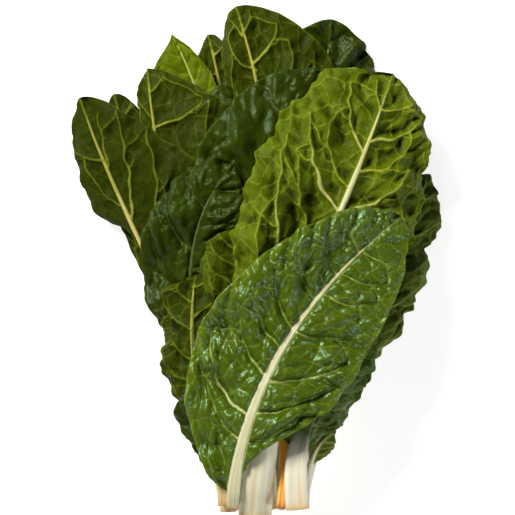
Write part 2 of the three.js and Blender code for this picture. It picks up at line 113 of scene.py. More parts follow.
def stalk_rings(spine, roll, stalk, neck, petiole, blade, up):
    """Rings of the stalk and midrib round the spine, and how far along it each one is. A
    ring goes out by half-width x cos a. Its back goes down by depth x |sin a|, and its
    front rises by crest x (|sin a| - 0.45 sin^8 a), which leaves it nearly flat. Shallow
    ridges of nine and fourteen waves run round it and fade as the stalk thins."""
    distance = np.concatenate([[0, 0.6], np.arange(RING_STEP, petiole, RING_STEP),
                               petiole + np.linspace(0, RIB_END, int(blade / 3)) * blade])
    place, side, normal = spine_frames(spine, roll, distance)
    half_width, depth = rib_size(stalk, neck, petiole, blade, distance)
    a = 2 * np.pi * np.arange(RIB_TURNS) / RIB_TURNS
    waves = 0.035 * np.sin(9 * a + 1.3) + 0.02 * np.sin(14 * a)
    ridges = 1 + np.clip(depth / 8, 0, 1)[:, None] * waves
    crest = 1 + np.clip(1 - distance / petiole, 0, 1) * (0.25 * depth - 1)
    crest = np.minimum(crest, 0.5 * depth)[:, None]
    high = crest * (np.abs(np.sin(a)) - 0.45 * np.sin(a)**8)
    deep = (depth[:, None] - crest) * np.abs(np.sin(a))
    level = BLADE_THICKNESS / 2 + 0.5 - crest + np.where(np.sin(a) > 0, high, -deep * ridges)
    rings = place[:, None] + (half_width[:, None] * np.cos(a) * ridges)[..., None] * side[:, None]
    rings = rings + (up * level)[..., None] * normal[:, None]
    cut_middle = rings[1].mean(axis=0)
    rings[0] = cut_middle + 0.95 * (rings[0] - cut_middle)
    return rings, distance


# The blade: its outline, and the arc that each half is bent to.


def soft_noise(x, y, size, seed):
    """Perlin's gradient noise, about -1 to 1: at each corner of a square lattice a random
    direction, dotted with the way from that corner, and the four blended smoothly."""
    angle = np.random.default_rng(seed).uniform(0, 2 * np.pi, (64, 64))
    i, j = np.floor(x / size).astype(int), np.floor(y / size).astype(int)
    a, b = x / size - i, y / size - j

    def corner(di, dj):
        g = angle[(i + di) % 64, (j + dj) % 64]
        return np.cos(g) * (a - di) + np.sin(g) * (b - dj)

    p, q = a**3 * (10 - 15 * a + 6 * a**2), b**3 * (10 - 15 * b + 6 * b**2)
    low = corner(0, 0) * (1 - p) + corner(1, 0) * p
    high = corner(0, 1) * (1 - p) + corner(1, 1) * p
    return 1.5 * (low * (1 - q) + high * q)


def cell_borders(x, y, size, seed):
    """Distance to the border between cells round one random point in each lattice square:
    the difference of the squared distances to the two nearest points over twice the
    distance between those two."""
    jitter = np.random.default_rng(seed).uniform(0.08, 0.92, (64, 64, 2))
    i, j = np.floor(x / size).astype(int), np.floor(y / size).astype(int)
    first = np.full(x.shape, 1e9)
    second = np.full(x.shape, 1e9)
    first_at = np.zeros(x.shape + (2,))
    second_at = np.zeros(x.shape + (2,))
    for di in (-2, -1, 0, 1, 2):
        for dj in (-2, -1, 0, 1, 2):
            spot = jitter[(i + di) % 64, (j + dj) % 64]
            spot = (spot + np.stack([i + di, j + dj], axis=-1)) * size
            gap = (spot[..., 0] - x)**2 + (spot[..., 1] - y)**2
            nearest = gap < first
            next_best = ~nearest & (gap < second)
            second_at[nearest] = first_at[nearest]
            second[nearest] = first[nearest]
            first_at[nearest] = spot[nearest]
            first[nearest] = gap[nearest]
            second_at[next_best] = spot[next_best]
            second[next_best] = gap[next_best]
    apart = np.linalg.norm(first_at - second_at, axis=-1)
    return (second - first) / (2 * apart + 1e-6)


TIP_START = 0.82            # share of the blade at which the tip begins to round
TIP_ROUNDING = 0.998        # a hair under 1, so that the tip keeps some width
BLADE_START = 0.05          # share over which the blade widens from the stalk
LOBE = 20.0                 # length of a lobe of the margin
SMALL_LOBE = 8.0


def blade_outline(left, right, s, distance, rib, edge_noise, seed):
    """Widths of both half blades at each row: the smooth outline with lobes added as noise
    along the margin. The last part is rounded by sqrt(1 - a^2), with a running 0 to 1 over
    it, and the first part in the same way."""
    widths = np.stack([curve_through(left, s), curve_through(right, s)], axis=1)
    for k in (0, 1):
        lobes = soft_noise(distance, distance * 0 + 7.3 + 40 * k, LOBE, seed + k)
        lobes += 0.4 * soft_noise(distance, distance * 0 + 3.1 + 40 * k, SMALL_LOBE, seed + 2 + k)
        widths[:, k] += edge_noise * lobes * np.clip(widths[:, k] / 20, 0, 1)
    ending = np.sqrt(1 - TIP_ROUNDING * np.clip((s - TIP_START) / (1 - TIP_START), 0, 1)**2)
    rising = np.sqrt(np.clip(1 - np.clip((BLADE_START - s) / BLADE_START, 0, 1)**2, 0.02, 1))
    widths *= (ending * rising)[:, None]
    return np.maximum(widths, rib[:, None] * ending[:, None] + 0.3)


RIGHT_LAG = 2.0             # the right margin's slow waves lag the left one's, in radians


def blade_arc(x, y, s, w, width, rib, bend, wave):
    """Plain half blade, bent about the spine. With t the share of the way from the
    midrib's edge to the margin, a the start angle, b the added angle and r = span / b, it
    goes out by r (sin(a + b t) - sin a) and up by r (cos a - cos(a + b t)), plus slow
    waves of height x t^2 x sin(2 pi y / length) that fade at both ends."""
    span = np.maximum(width - rib[:, None], 0.3)
    t = np.clip(np.maximum(x - rib[:, None], 0) / span, 0, 1)
    start = np.radians(np.where(w > 0, bend[1][0], bend[0][0]))
    added = np.radians(np.where(w > 0, bend[1][1], bend[0][1]))
    added = np.where(np.abs(added) < 0.01, 0.01, added)
    radius = span / added
    angle = start + added * t
    out = radius * (np.sin(angle) - np.sin(start))
    rise = radius * (np.cos(start) - np.cos(angle))
    lag = np.where(w > 0, RIGHT_LAG, 0.0)
    swing = np.sin(2 * np.pi * y / wave[1] + wave[2] + lag)
    rise += wave[0] * t**2 * swing * np.sin(np.pi * s)[:, None]
    return t, np.minimum(x, rib[:, None]) + out, rise, angle


# The side veins, which stand out below the blade and hold it down above.


def side_veins(left, right, pairs):
    """Side veins of a plain leaf as (side, share, out, on, thickness): they leave the
    midrib by turns left and right, at a share of the blade, reach out nearly to the margin
    and run on towards the tip as far as they reach out."""
    share = 0.03 + 0.9 * (np.arange(2 * pairs) + 0.5) / (2 * pairs)
    side = np.tile([-1, 1], pairs)
    out = np.where(side < 0, curve_through(left, share + 0.1), curve_through(right, share + 0.1))
    return np.stack([side, share, 0.92 * out, out, np.ones(2 * pairs)], axis=1)


def vein_paths(laterals, petiole, blade, thick, arch):
    """Side veins on the flattened blade as points (x, y, half-width). Each leaves the
    midrib by x = out ((1 + a) t - a t^2) and y = on ((1 - b) t + b t^2), where b is 0.9 - a;
    it forks once halfway, and an arch ties it to the one before it on its side."""
    t = np.linspace(0, 1, 13)
    later = 0.9 - arch
    paths = []
    ends = {-1: None, 1: None}
    for side, share, out, on, heavy in laterals:
        x = side * out * ((1 + arch) * t - arch * t**2)
        y = petiole + share * blade + on * ((1 - later) * t + later * t**2)
        wide = heavy * thick * (1 - 0.78 * t)
        paths.append(np.stack([x, y, wide], axis=1))
        fork_x = x[6] + side * out * 0.34 * t
        fork_y = y[6] + out * (-0.08 * t + 0.22 * t**2)
        paths.append(np.stack([fork_x, fork_y, 0.5 * wide[6] * (1 - 0.6 * t)], axis=1))
        if ends[side] is not None:
            from_x, from_y = ends[side]
            bulge = 0.14 * side * out * np.sin(np.pi * t)
            paths.append(np.stack([from_x + (x[8] - from_x) * t + bulge,
                                   from_y + (y[8] - from_y) * t, 0.2 * thick + 0 * t], axis=1))
        ends[side] = (x[-1], y[-1])
    return paths


def vein_field(paths, x, y):
    """Distance to the nearest side vein less its half-width, and how strong that vein is."""
    gap = np.full(x.shape, 1e3)
    strength = np.zeros(x.shape)
    for path in paths:
        low = path[:, :2].min(axis=0) - 14
        high = path[:, :2].max(axis=0) + 14
        near = (x > low[0]) & (x < high[0]) & (y > low[1]) & (y < high[1])
        if not near.any():
            continue
        px, py = x[near][:, None], y[near][:, None]
        a, b = path[:-1], path[1:]
        run = b[:, :2] - a[:, :2]
        share = ((px - a[:, 0]) * run[:, 0] + (py - a[:, 1]) * run[:, 1]) / (run**2).sum(axis=1)
        share = np.clip(share, 0, 1)
        dx = px - a[:, 0] - share * run[:, 0]
        dy = py - a[:, 1] - share * run[:, 1]
        wide = a[:, 2] + share * (b[:, 2] - a[:, 2])
        away = np.hypot(dx, dy) - wide
        best = away.argmin(axis=1)
        rows = np.arange(len(best))
        found = away[rows, best]
        better = found < gap[near]
        spots = np.flatnonzero(near.ravel())[better]
        gap.ravel()[spots] = found[better]
        strength.ravel()[spots] = wide[rows, best][better]
    return gap, strength


# The relief between the veins. Sizes are those of one bulge, crease or pucker.

VEIN_WANDER = 2.2           # how far a vein strays from its smooth course
WANDER_SIZE = 13.0
FINE_CELL = 0.36            # finest meshes of the vein network, over the coarse ones
BULGE_SLOPE = (8.0, 2.0)    # slow and steep rise beside a vein
MESH_SLOPE = 2.8            # and beside the coarse and the fine network
FINE_SLOPE = 1.1
GROOVE = 0.9                # half-width of the groove over a side vein
CRUMPLE_SIZES = (15.0, 7.0)
BUCKLE_SIZE = 24.0
CRINKLE_SIZES = (5.2, 2.7)
PUCKER_SIZES = (4.6, 4.2)
PUCKER_REACH = (9.0, 4.0)   # from the midrib, and from a vein
RIB_FADE = 5.0              # past the midrib's end its valley fades out as if this far away


def blade_relief(x, flat_x, y, s, t, w, rib, paths, up, seed, cells, blister, flatter, crumple,
                 crinkle, gather, ruffle):
    """Height of the blade over its plain arc, and the distances that its skin is coloured
    by. Between veins the blade swells to its upper side by a (1 - exp(-d / b)), d being the
    distance to the nearest vein, on three scales of vein. Crumples are |noise| drawn out
    along the side veins, and crinkles finer noise. Puckers are noise across the midrib
    that fades as exp(-(d / reach)^2), and ruffles noise that grows as t^2.5."""
    warp_x = flat_x + VEIN_WANDER * soft_noise(flat_x, y, WANDER_SIZE, seed + 5)
    warp_y = y + VEIN_WANDER * soft_noise(flat_x, y, WANDER_SIZE, seed + 6)
    gap, strength = vein_field(paths, warp_x, warp_y)
    rib_gap = np.maximum(x - rib[:, None], 0)
    past_rib = (s - RIB_END) / (1 - RIB_END)
    from_rib = x - rib[:, None] + RIB_FADE * np.clip(past_rib, 0, 1)[:, None]
    rib_strength = np.clip((1 - s) / (1 - RIB_END), 0.2, 1)[:, None]
    strength = np.where(rib_gap < gap, rib_strength, strength)
    line_gap = np.minimum(rib_gap, np.maximum(gap, 0))
    gap = np.clip(from_rib, 0, np.maximum(gap, 0))
    mesh_gap = cell_borders(warp_x, warp_y * 0.85, cells, seed + 7)
    fine_gap = cell_borders(warp_x, warp_y, FINE_CELL * cells, seed + 8)

    tall = blister[0] * (1 - flatter * np.clip(2 * s - 1, 0, 1))[:, None]
    swell = tall * (0.7 * (1 - np.exp(-gap / BULGE_SLOPE[0]))
                    + 0.5 * (1 - np.exp(-gap / BULGE_SLOPE[1])))
    uneven = 0.6 + 0.6 * soft_noise(flat_x, y, 26.0, seed + 16)
    swell += blister[1] * uneven * (1 - np.exp(-np.minimum(mesh_gap, gap) / MESH_SLOPE))
    swell += blister[2] * (1 - np.exp(-np.minimum(fine_gap, gap) / FINE_SLOPE))
    swell *= np.clip(s / BLADE_START, 0, 1)[:, None]
    swell -= 0.6 * strength * np.exp(-(gap / GROOVE)**2)

    along_veins = 0.6 * x + 0.8 * y
    across_veins = 0.8 * x - 0.6 * y + 60.0 * (w > 0)
    bent = across_veins + 3.0 * soft_noise(along_veins, across_veins, 24.0, seed + 12)
    large, small = CRUMPLE_SIZES
    folds = 3.2 * (np.abs(soft_noise(0.3 * along_veins, bent, large, seed + 9)) - 0.3)
    folds += 1.3 * (np.abs(soft_noise(0.45 * along_veins, bent, small, seed + 10)) - 0.3)
    folds += 1.4 * soft_noise(flat_x, y, BUCKLE_SIZE, seed + 20)
    folds *= np.where(w > 0, crumple[1], crumple[0]) * np.minimum(4 * t, 1)

    crinkled = np.where(w > 0, crinkle[1], crinkle[0])
    crinkled = crinkled * np.clip(0.7 + 0.9 * soft_noise(flat_x, y, 30.0, seed + 17), 0.1, 1.4)
    swell += crinkled * soft_noise(warp_x, warp_y, CRINKLE_SIZES[0], seed + 18)
    swell += 0.5 * crinkled * soft_noise(flat_x, y, CRINKLE_SIZES[1], seed + 19)

    drawn = gather * np.clip(from_rib / 2.5, 0, 1)
    beside_rib = np.exp(-(from_rib / PUCKER_REACH[0])**2)
    swell += drawn * beside_rib * soft_noise(flat_x * 0.25, y, PUCKER_SIZES[0], seed + 14)
    beside_vein = np.exp(-gap / PUCKER_REACH[1])
    swell += 0.5 * drawn * beside_vein * soft_noise(flat_x, y, PUCKER_SIZES[1], seed + 15)

    frill = soft_noise(flat_x * 0.3, y, 0.6 * ruffle[1], seed + 11)
    frill += 0.35 * soft_noise(flat_x * 0.3, y, 0.25 * ruffle[1], seed + 13)
    frill *= 1.5 * ruffle[0] * t**2.5 * np.clip(s * 8, 0, 1)[:, None]
    skin_fields = {"vein_gap": line_gap, "vein_strength": strength, "net_gap": mesh_gap,
                   "fine_gap": fine_gap, "margin": t}
    return up * swell + folds + frill, skin_fields


def local_mean(values, reach):
    """Mean over a square of grid points that reaches so far each way, by running sums."""
    for axis in (0, 1):
        border = [(0, 0), (0, 0)]
        border[axis] = (reach + 1, reach)
        sums = np.cumsum(np.pad(values, border, mode="edge"), axis=axis)
        count = sums.shape[axis]
        values = (np.take(sums, np.arange(2 * reach + 1, count), axis)
                  - np.take(sums, np.arange(0, count - 2 * reach - 1), axis)) / (2 * reach + 1)
    return values


# The pile: the height that the leaves laid so far have reached over each square of table.

TABLE = (-240.0, -30.0, 480.0, 440.0)   # west, south, width and depth of the table's map
CELL = 1.5                              # side of a square
PILE_AIR = 0.5                          # air between two leaves
BLADE_ROWS = 10                         # stiffness lattice of a blade, lengthwise
HALF_COLUMNS = 3                        # and from the midrib to the margin
STALK_STEP = 26.0                       # the same along the bare stalk
SPINE_SAG = 1.2                         # how far a raised spine sags between its steps
BLADE_SAG = 1.8                         # and a blade
SETTLING_ROUNDS = 150

pile = np.zeros((int(TABLE[3] / CELL), int(TABLE[2] / CELL)))


def pile_index(points):
    """Row and column of the square that each point lies over."""
    column = np.clip((points[..., 0] - TABLE[0]) / CELL, 0, pile.shape[1] - 1).astype(int)
    row = np.clip((points[..., 1] - TABLE[1]) / CELL, 0, pile.shape[0] - 1).astype(int)
    return row, column


def spread(heights):
    """Each square takes the highest value of itself and the eight squares round it."""
    wide = np.maximum(heights, np.maximum(np.roll(heights, 1, 0), np.roll(heights, -1, 0)))
    return np.maximum(wide, np.maximum(np.roll(wide, 1, 1), np.roll(wide, -1, 1)))


def settle(blade_points, along, across, half, ring_points, ring_at, bare_steps):
    """Lift that lays a leaf on the pile. Each patch of a coarse lattice is raised by what
    its worst point needs; then no knot may hang more than a set sag below the mean of its
    neighbours. Returns the lift of every blade point and of every ring."""
    top = spread(pile)

    def need(points, heights=top):
        under = heights[pile_index(points)]
        return np.where(under > 0, under + PILE_AIR, 0) - points[..., 2]

    lifts = np.zeros((2, BLADE_ROWS + 1, HALF_COLUMNS + 1))
    spine = np.zeros(bare_steps + BLADE_ROWS + 1)
    row = np.minimum((along * BLADE_ROWS).astype(int), BLADE_ROWS - 1)
    column = np.minimum((across * HALF_COLUMNS).astype(int), HALF_COLUMNS - 1)
    wanted = need(blade_points)
    for dr in (0, 1):
        for dc in (0, 1):
            np.maximum.at(lifts, (half, row + dr, column + dc), wanted)
    ring_row = np.minimum(ring_at.astype(int), len(spine) - 2)
    ring_need = need(ring_points, pile).max(axis=1)
    np.maximum.at(spine, ring_row, ring_need)
    np.maximum.at(spine, ring_row + 1, ring_need)
    for _ in range(SETTLING_ROUNDS):
        on = spine[bare_steps:]
        on[:] = np.maximum(on, lifts[:, :, 0].max(axis=0))
        spine[1:-1] = np.maximum(spine[1:-1], (spine[:-2] + spine[2:]) / 2 - SPINE_SAG)
        lifts[:, :, 0] = spine[bare_steps:]
        padded = np.pad(lifts, ((0, 0), (1, 1), (0, 1)), mode="edge")
        padded[:, 1:-1, -1] = lifts[:, :, -2]
        around = (padded[:, :-2, 1:-1] + padded[:, 2:, 1:-1]
                  + padded[:, 1:-1, :-2] + padded[:, 1:-1, 2:]) / 4
        lifts[:, :, 1:] = np.maximum(lifts[:, :, 1:], around - BLADE_SAG)
    raised = np.zeros(blade_points.shape[:2])
    spine_place = (bare_steps + along[:, 0] * BLADE_ROWS) / (len(spine) - 1)
    for k in (0, 1):
        rows = curve_through(lifts[k], np.repeat(along[:, :1], HALF_COLUMNS + 1, axis=1))
        rows[:, 0] = curve_through(spine, spine_place)
        here = curve_through(rows.T, across.T).T
        raised = np.where(half == k, here, raised)
    return raised, curve_through(spine, ring_at / (len(spine) - 1))


def cover(points):
    """Adds a surface to the pile, with its points doubled up so that no square is missed."""
    points = np.concatenate([points, (points[1:] + points[:-1]) / 2], axis=0)
    points = np.concatenate([points, (points[:, 1:] + points[:, :-1]) / 2], axis=1)
    np.maximum.at(pile, pile_index(points), points[..., 2])


# The meshes, moved from the layout of the bunch to the frame of the part, in metres.

MM = 0.001
LAYOUT_MIDDLE = np.array([-2.75, 184.5, 0.0])  # middle of the bunch in the layout


def mesh_object(name, points, faces, face_materials, materials, uv, attributes):
    """A mesh from arrays: corners of each face, its material, bake map and attributes."""
    mesh = bpy.data.meshes.new(name)
    corners = np.concatenate([face.ravel() for face in faces])
    sizes = np.concatenate([np.full(len(face), face.shape[1]) for face in faces])
    mesh.vertices.add(len(points))
    mesh.vertices.foreach_set("co", ((points - LAYOUT_MIDDLE) * MM).ravel())
    mesh.loops.add(len(corners))
    mesh.loops.foreach_set("vertex_index", corners)
    mesh.polygons.add(len(sizes))
    mesh.polygons.foreach_set("loop_start", np.r_[0, np.cumsum(sizes)[:-1]])
    mesh.polygons.foreach_set("loop_total", sizes)
    mesh.polygons.foreach_set("material_index", face_materials)
    mesh.polygons.foreach_set("use_smooth", np.ones(len(sizes), bool))
    layer = mesh.uv_layers.new(name="OFBake")
    layer.data.foreach_set("uv", uv[corners].ravel())
    for key, values in attributes.items():
        attribute = mesh.attributes.new(key, "FLOAT", "POINT")
        attribute.data.foreach_set("value", values.astype(np.float32))
    for material in materials:
        mesh.materials.append(material)
    mesh.update()
    mesh.validate()
    piece = bpy.data.objects.new(name, mesh)
    bpy.context.scene.collection.objects.link(piece)
    return piece


def grid_faces(rows, columns, closed=False):
    """Four-cornered faces of a grid; a closed grid also joins its last column to its first."""
    i = np.arange(rows - 1)[:, None]
    j = np.arange(columns if closed else columns - 1)[None, :]
    nxt = (j + 1) % columns
    corners = [i * columns + j, i * columns + nxt, (i + 1) * columns + nxt, (i + 1) * columns + j]
    return np.stack(np.broadcast_arrays(*corners), axis=-1).reshape(-1, 4)


def blade_piece(name, over, under, flat_x, y, petiole, blade, sides, faces, skins, skin_fields):
    """The blade as one closed mesh. The side that faces up takes the first skin if it is
    the glossy side, else the second, and the rim goes with the under surface. The two
    surfaces lie side by side on the bake map, at the same scale."""
    rows, columns = flat_x.shape
    count = rows * columns
    top_faces = grid_faces(rows, columns)
    under_faces = top_faces[:, ::-1] + count
    ids = np.arange(count).reshape(rows, columns)
    rim = np.concatenate([ids[0, :], ids[1:, -1], ids[-1, -2::-1], ids[-2:0:-1, 0]])
    ahead = np.roll(rim, -1)
    rim_faces = np.stack([ahead, rim, rim + count, ahead + count], axis=1)
    top_skin, under_skin = (0, 1) if faces == "up" else (1, 0)
    face_skins = np.concatenate([np.full(len(top_faces), top_skin),
                                 np.full(len(under_faces) + len(rim_faces), under_skin)])
    left, right = sides
    scale = 0.94 / max(blade, 2 * (left + right) + 10)
    u = (flat_x + left + 5) * scale
    v = 0.02 + (y - petiole) * scale
    shift = (left + right + 10) * scale
    uv = np.concatenate([np.stack([u, v], axis=-1).reshape(-1, 2),
                         np.stack([u + shift, v], axis=-1).reshape(-1, 2)])
    points = np.concatenate([over.reshape(-1, 3), under.reshape(-1, 3)])
    leaf = mesh_object(name + "_leaf", points, [top_faces, under_faces, rim_faces],
                       face_skins, skins, uv, skin_fields)
    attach(leaf, "root")
    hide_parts(name + "_blade")


def stalk_piece(name, rings, distance, petiole, total, faces, flesh):
    """The stalk and midrib as one closed tube: its rings, two more that round the cut end
    in to a middle point, and a point that closes the thin end."""
    first, last = rings[0].mean(axis=0), rings[-1].mean(axis=0)
    cut = first + (rings[0] - first) * np.array([0.5, 0.9])[:, None, None]
    body = np.concatenate([cut, rings], axis=0)
    points = np.concatenate([body.reshape(-1, 3), [first], [last]])
    count = len(body)
    tube = grid_faces(count, RIB_TURNS, closed=True)[:, ::-1]
    k = np.arange(RIB_TURNS)
    nxt = (k + 1) % RIB_TURNS
    middle = count * RIB_TURNS
    far = (count - 1) * RIB_TURNS
    near_cap = np.stack([np.full(RIB_TURNS, middle), k, nxt], axis=1)
    far_cap = np.stack([np.full(RIB_TURNS, middle + 1), far + nxt, far + k], axis=1)
    if faces == "down":
        tube, near_cap, far_cap = tube[:, ::-1], near_cap[:, ::-1], far_cap[:, ::-1]
    lengthwise = np.repeat(np.concatenate([[-2.0, -1.0], distance]), RIB_TURNS)
    lengthwise = np.concatenate([lengthwise, [-3.0, total]])
    round_it = np.concatenate([np.tile(k / RIB_TURNS, count), [0.5, 0.5]])
    uv = np.stack([0.05 + 0.2 * round_it, 0.03 + 0.9 * (lengthwise + 3) / (total + 3)], axis=1)
    reach = np.concatenate([[0, 0], distance])
    on_blade = np.repeat(np.clip((reach - petiole) / (total - petiole), 0, 1), RIB_TURNS)
    near_cut = np.repeat(np.exp(-reach / 30.0), RIB_TURNS)
    flesh_fields = {"lengthwise": lengthwise, "round": round_it,
                    "on_blade": np.concatenate([on_blade, [0, 1]]),
                    "cut_end": np.concatenate([near_cut, [1, 0]])}
    rib_piece = mesh_object(name + "_rib", points, [tube, near_cap, far_cap],
                            np.zeros(len(tube) + 2 * RIB_TURNS, int), [flesh], uv, flesh_fields)
    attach(rib_piece, "root")
    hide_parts(name + "_stalk")


def grow(name, faces, spine, petiole, stalk, left, right, bend, roll, wave, skins, flesh,
         spacing, seed, neck=0.6, edge_noise=2.0, ruffle=(2.5, 30), crumple=(0.8, 0.8),
         crinkle=(0.25, 0.25), blister=(2.2, 1.5, 0.5), flatter=0.0, gather=0.8, pairs=7,
         laterals=None, arch=0.35, thick=0.7, cells=11.0):
    """Grows one leaf in the layout and lays it on the pile. The blade is a grid of s, the
    share of its length, and w, -1 to 1 from the left margin to the right. On the flattened
    blade x runs out from the midrib and y along it. The middle surface is spine + side x
    out + normal x rise + facing x relief, and half the thickness goes to each side of it.

    faces: side that shows from above, "up" for the glossy one. petiole: length of the bare
    stalk. stalk: its width and depth at the cut, and neck: its width at the blade over
    that. left, right: widths of the half blades at even steps. bend: start and added angle
    of each half. roll: turn about the spine at both ends. wave: height, length and phase.
    edge_noise: height of the margin's lobes. ruffle: height and length. crumple, crinkle:
    heights on each half. blister: heights of the swelling between side veins, coarse and
    fine network. flatter: share of the first that is lost by the tip. gather: height of the
    puckers. pairs: of side veins, unless laterals lists them as side_veins does. arch: how
    far they curve. thick: their half-width at the midrib. cells: mesh width of the coarse
    network. spacing: of the grid."""
    total = spine_length(spine)[-1]
    blade = total - petiole
    up = 1.0 if faces == "up" else -1.0
    rows = int(blade / spacing)
    columns = int(2 * max(max(left), max(right)) / spacing) | 1
    s = 1 - (1 - np.linspace(0, 1, rows))**1.15
    distance = petiole + s * blade
    place, side, normal = spine_frames(spine, roll, distance)
    rib, _ = rib_size(stalk, neck, petiole, blade, distance)
    w = np.linspace(-1, 1, columns)[None, :]
    half = np.repeat((w > 0).astype(int), rows, axis=0)
    sign = np.where(w > 0, 1.0, -1.0)
    widths = blade_outline(left, right, s, distance, rib, edge_noise, seed)
    width = np.take_along_axis(widths, half, axis=1)
    x = np.abs(w) * width
    y = np.repeat(distance[:, None], columns, axis=1)

    t, out, rise, angle = blade_arc(x, y, s, w, width, rib, bend, wave)
    middle = place[:, None] + (sign * out)[..., None] * side[:, None]
    middle = middle + rise[..., None] * normal[:, None]
    facing = np.cos(angle)[..., None] * normal[:, None]
    facing = facing - (np.sin(angle) * sign)[..., None] * side[:, None]

    if laterals is None:
        laterals = side_veins(left, right, pairs)
    paths = vein_paths(laterals, petiole, blade, thick, arch)
    flat_x = sign * x
    raised, skin_fields = blade_relief(x, flat_x, y, s, t, w, rib, paths, up, seed, cells, blister,
                                       flatter, crumple, crinkle, gather, ruffle)
    middle += facing * raised[..., None]
    # The height over the blade's mean within 9 mm is kept for the skins, which paint shade into its
    # dips.
    raised -= local_mean(raised, int(9 / spacing))
    skin_fields = {key: np.tile(field.ravel(), 2) for key, field in skin_fields.items()}
    skin_fields["height"] = np.concatenate([raised.ravel(), -raised.ravel()])
    over = middle + facing * BLADE_THICKNESS / 2
    under = middle - facing * BLADE_THICKNESS / 2
    rings, ring_distance = stalk_rings(spine, roll, stalk, neck, petiole, blade, up)

    bare_steps = int(np.ceil(petiole / STALK_STEP))
    ring_at = np.where(ring_distance < petiole, ring_distance / petiole * bare_steps,
                       bare_steps + (ring_distance - petiole) / blade * BLADE_ROWS)
    along = np.repeat(((distance - petiole) / blade)[:, None], columns, axis=1)
    lifts, ring_lifts = settle(under, along, t, half, rings, ring_at, bare_steps)
    over[..., 2] += lifts
    under[..., 2] += lifts
    rings[..., 2] += ring_lifts[:, None]
    cover(over)
    cover(rings)
    blade_piece(name, over, under, flat_x, y, petiole, blade, (max(left), max(right)), faces,
                skins, skin_fields)
    stalk_piece(name, rings, ring_distance, petiole, total, faces, flesh)


# Skins and flesh. Their patterns read the fields stored on each mesh, and its own coordinates
# where they only vary the tone.


def linear(code):
    """Turns an sRGB hex colour into the linear red, green, blue and alpha nodes expect."""
    value = np.array([int(code[i:i + 2], 16) for i in (1, 3, 5)]) / 255
    value = np.where(value <= 0.04045, value / 12.92, ((value + 0.055) / 1.055)**2.4)
    return (*[float(v) for v in value], 1.0)


def add(tree, kind, inputs=None, out=0, **settings):
    """Adds a node with its settings; each input is a plain value or a socket to link. The
    node's own output socket comes back."""
    made = tree.nodes.new(kind)
    for key, value in settings.items():
        setattr(made, key, value)
    for key, value in (inputs or {}).items():
        if isinstance(value, bpy.types.NodeSocket):
            tree.links.new(value, made.inputs[key])
        else:
            made.inputs[key].default_value = value
    return made.outputs[out] if made.outputs else made


def blank_material(name):
    """A material without nodes yet, and its node tree."""
    material = bpy.data.materials.new(name)
    material.use_nodes = True
    material.node_tree.nodes.clear()
    return material, material.node_tree


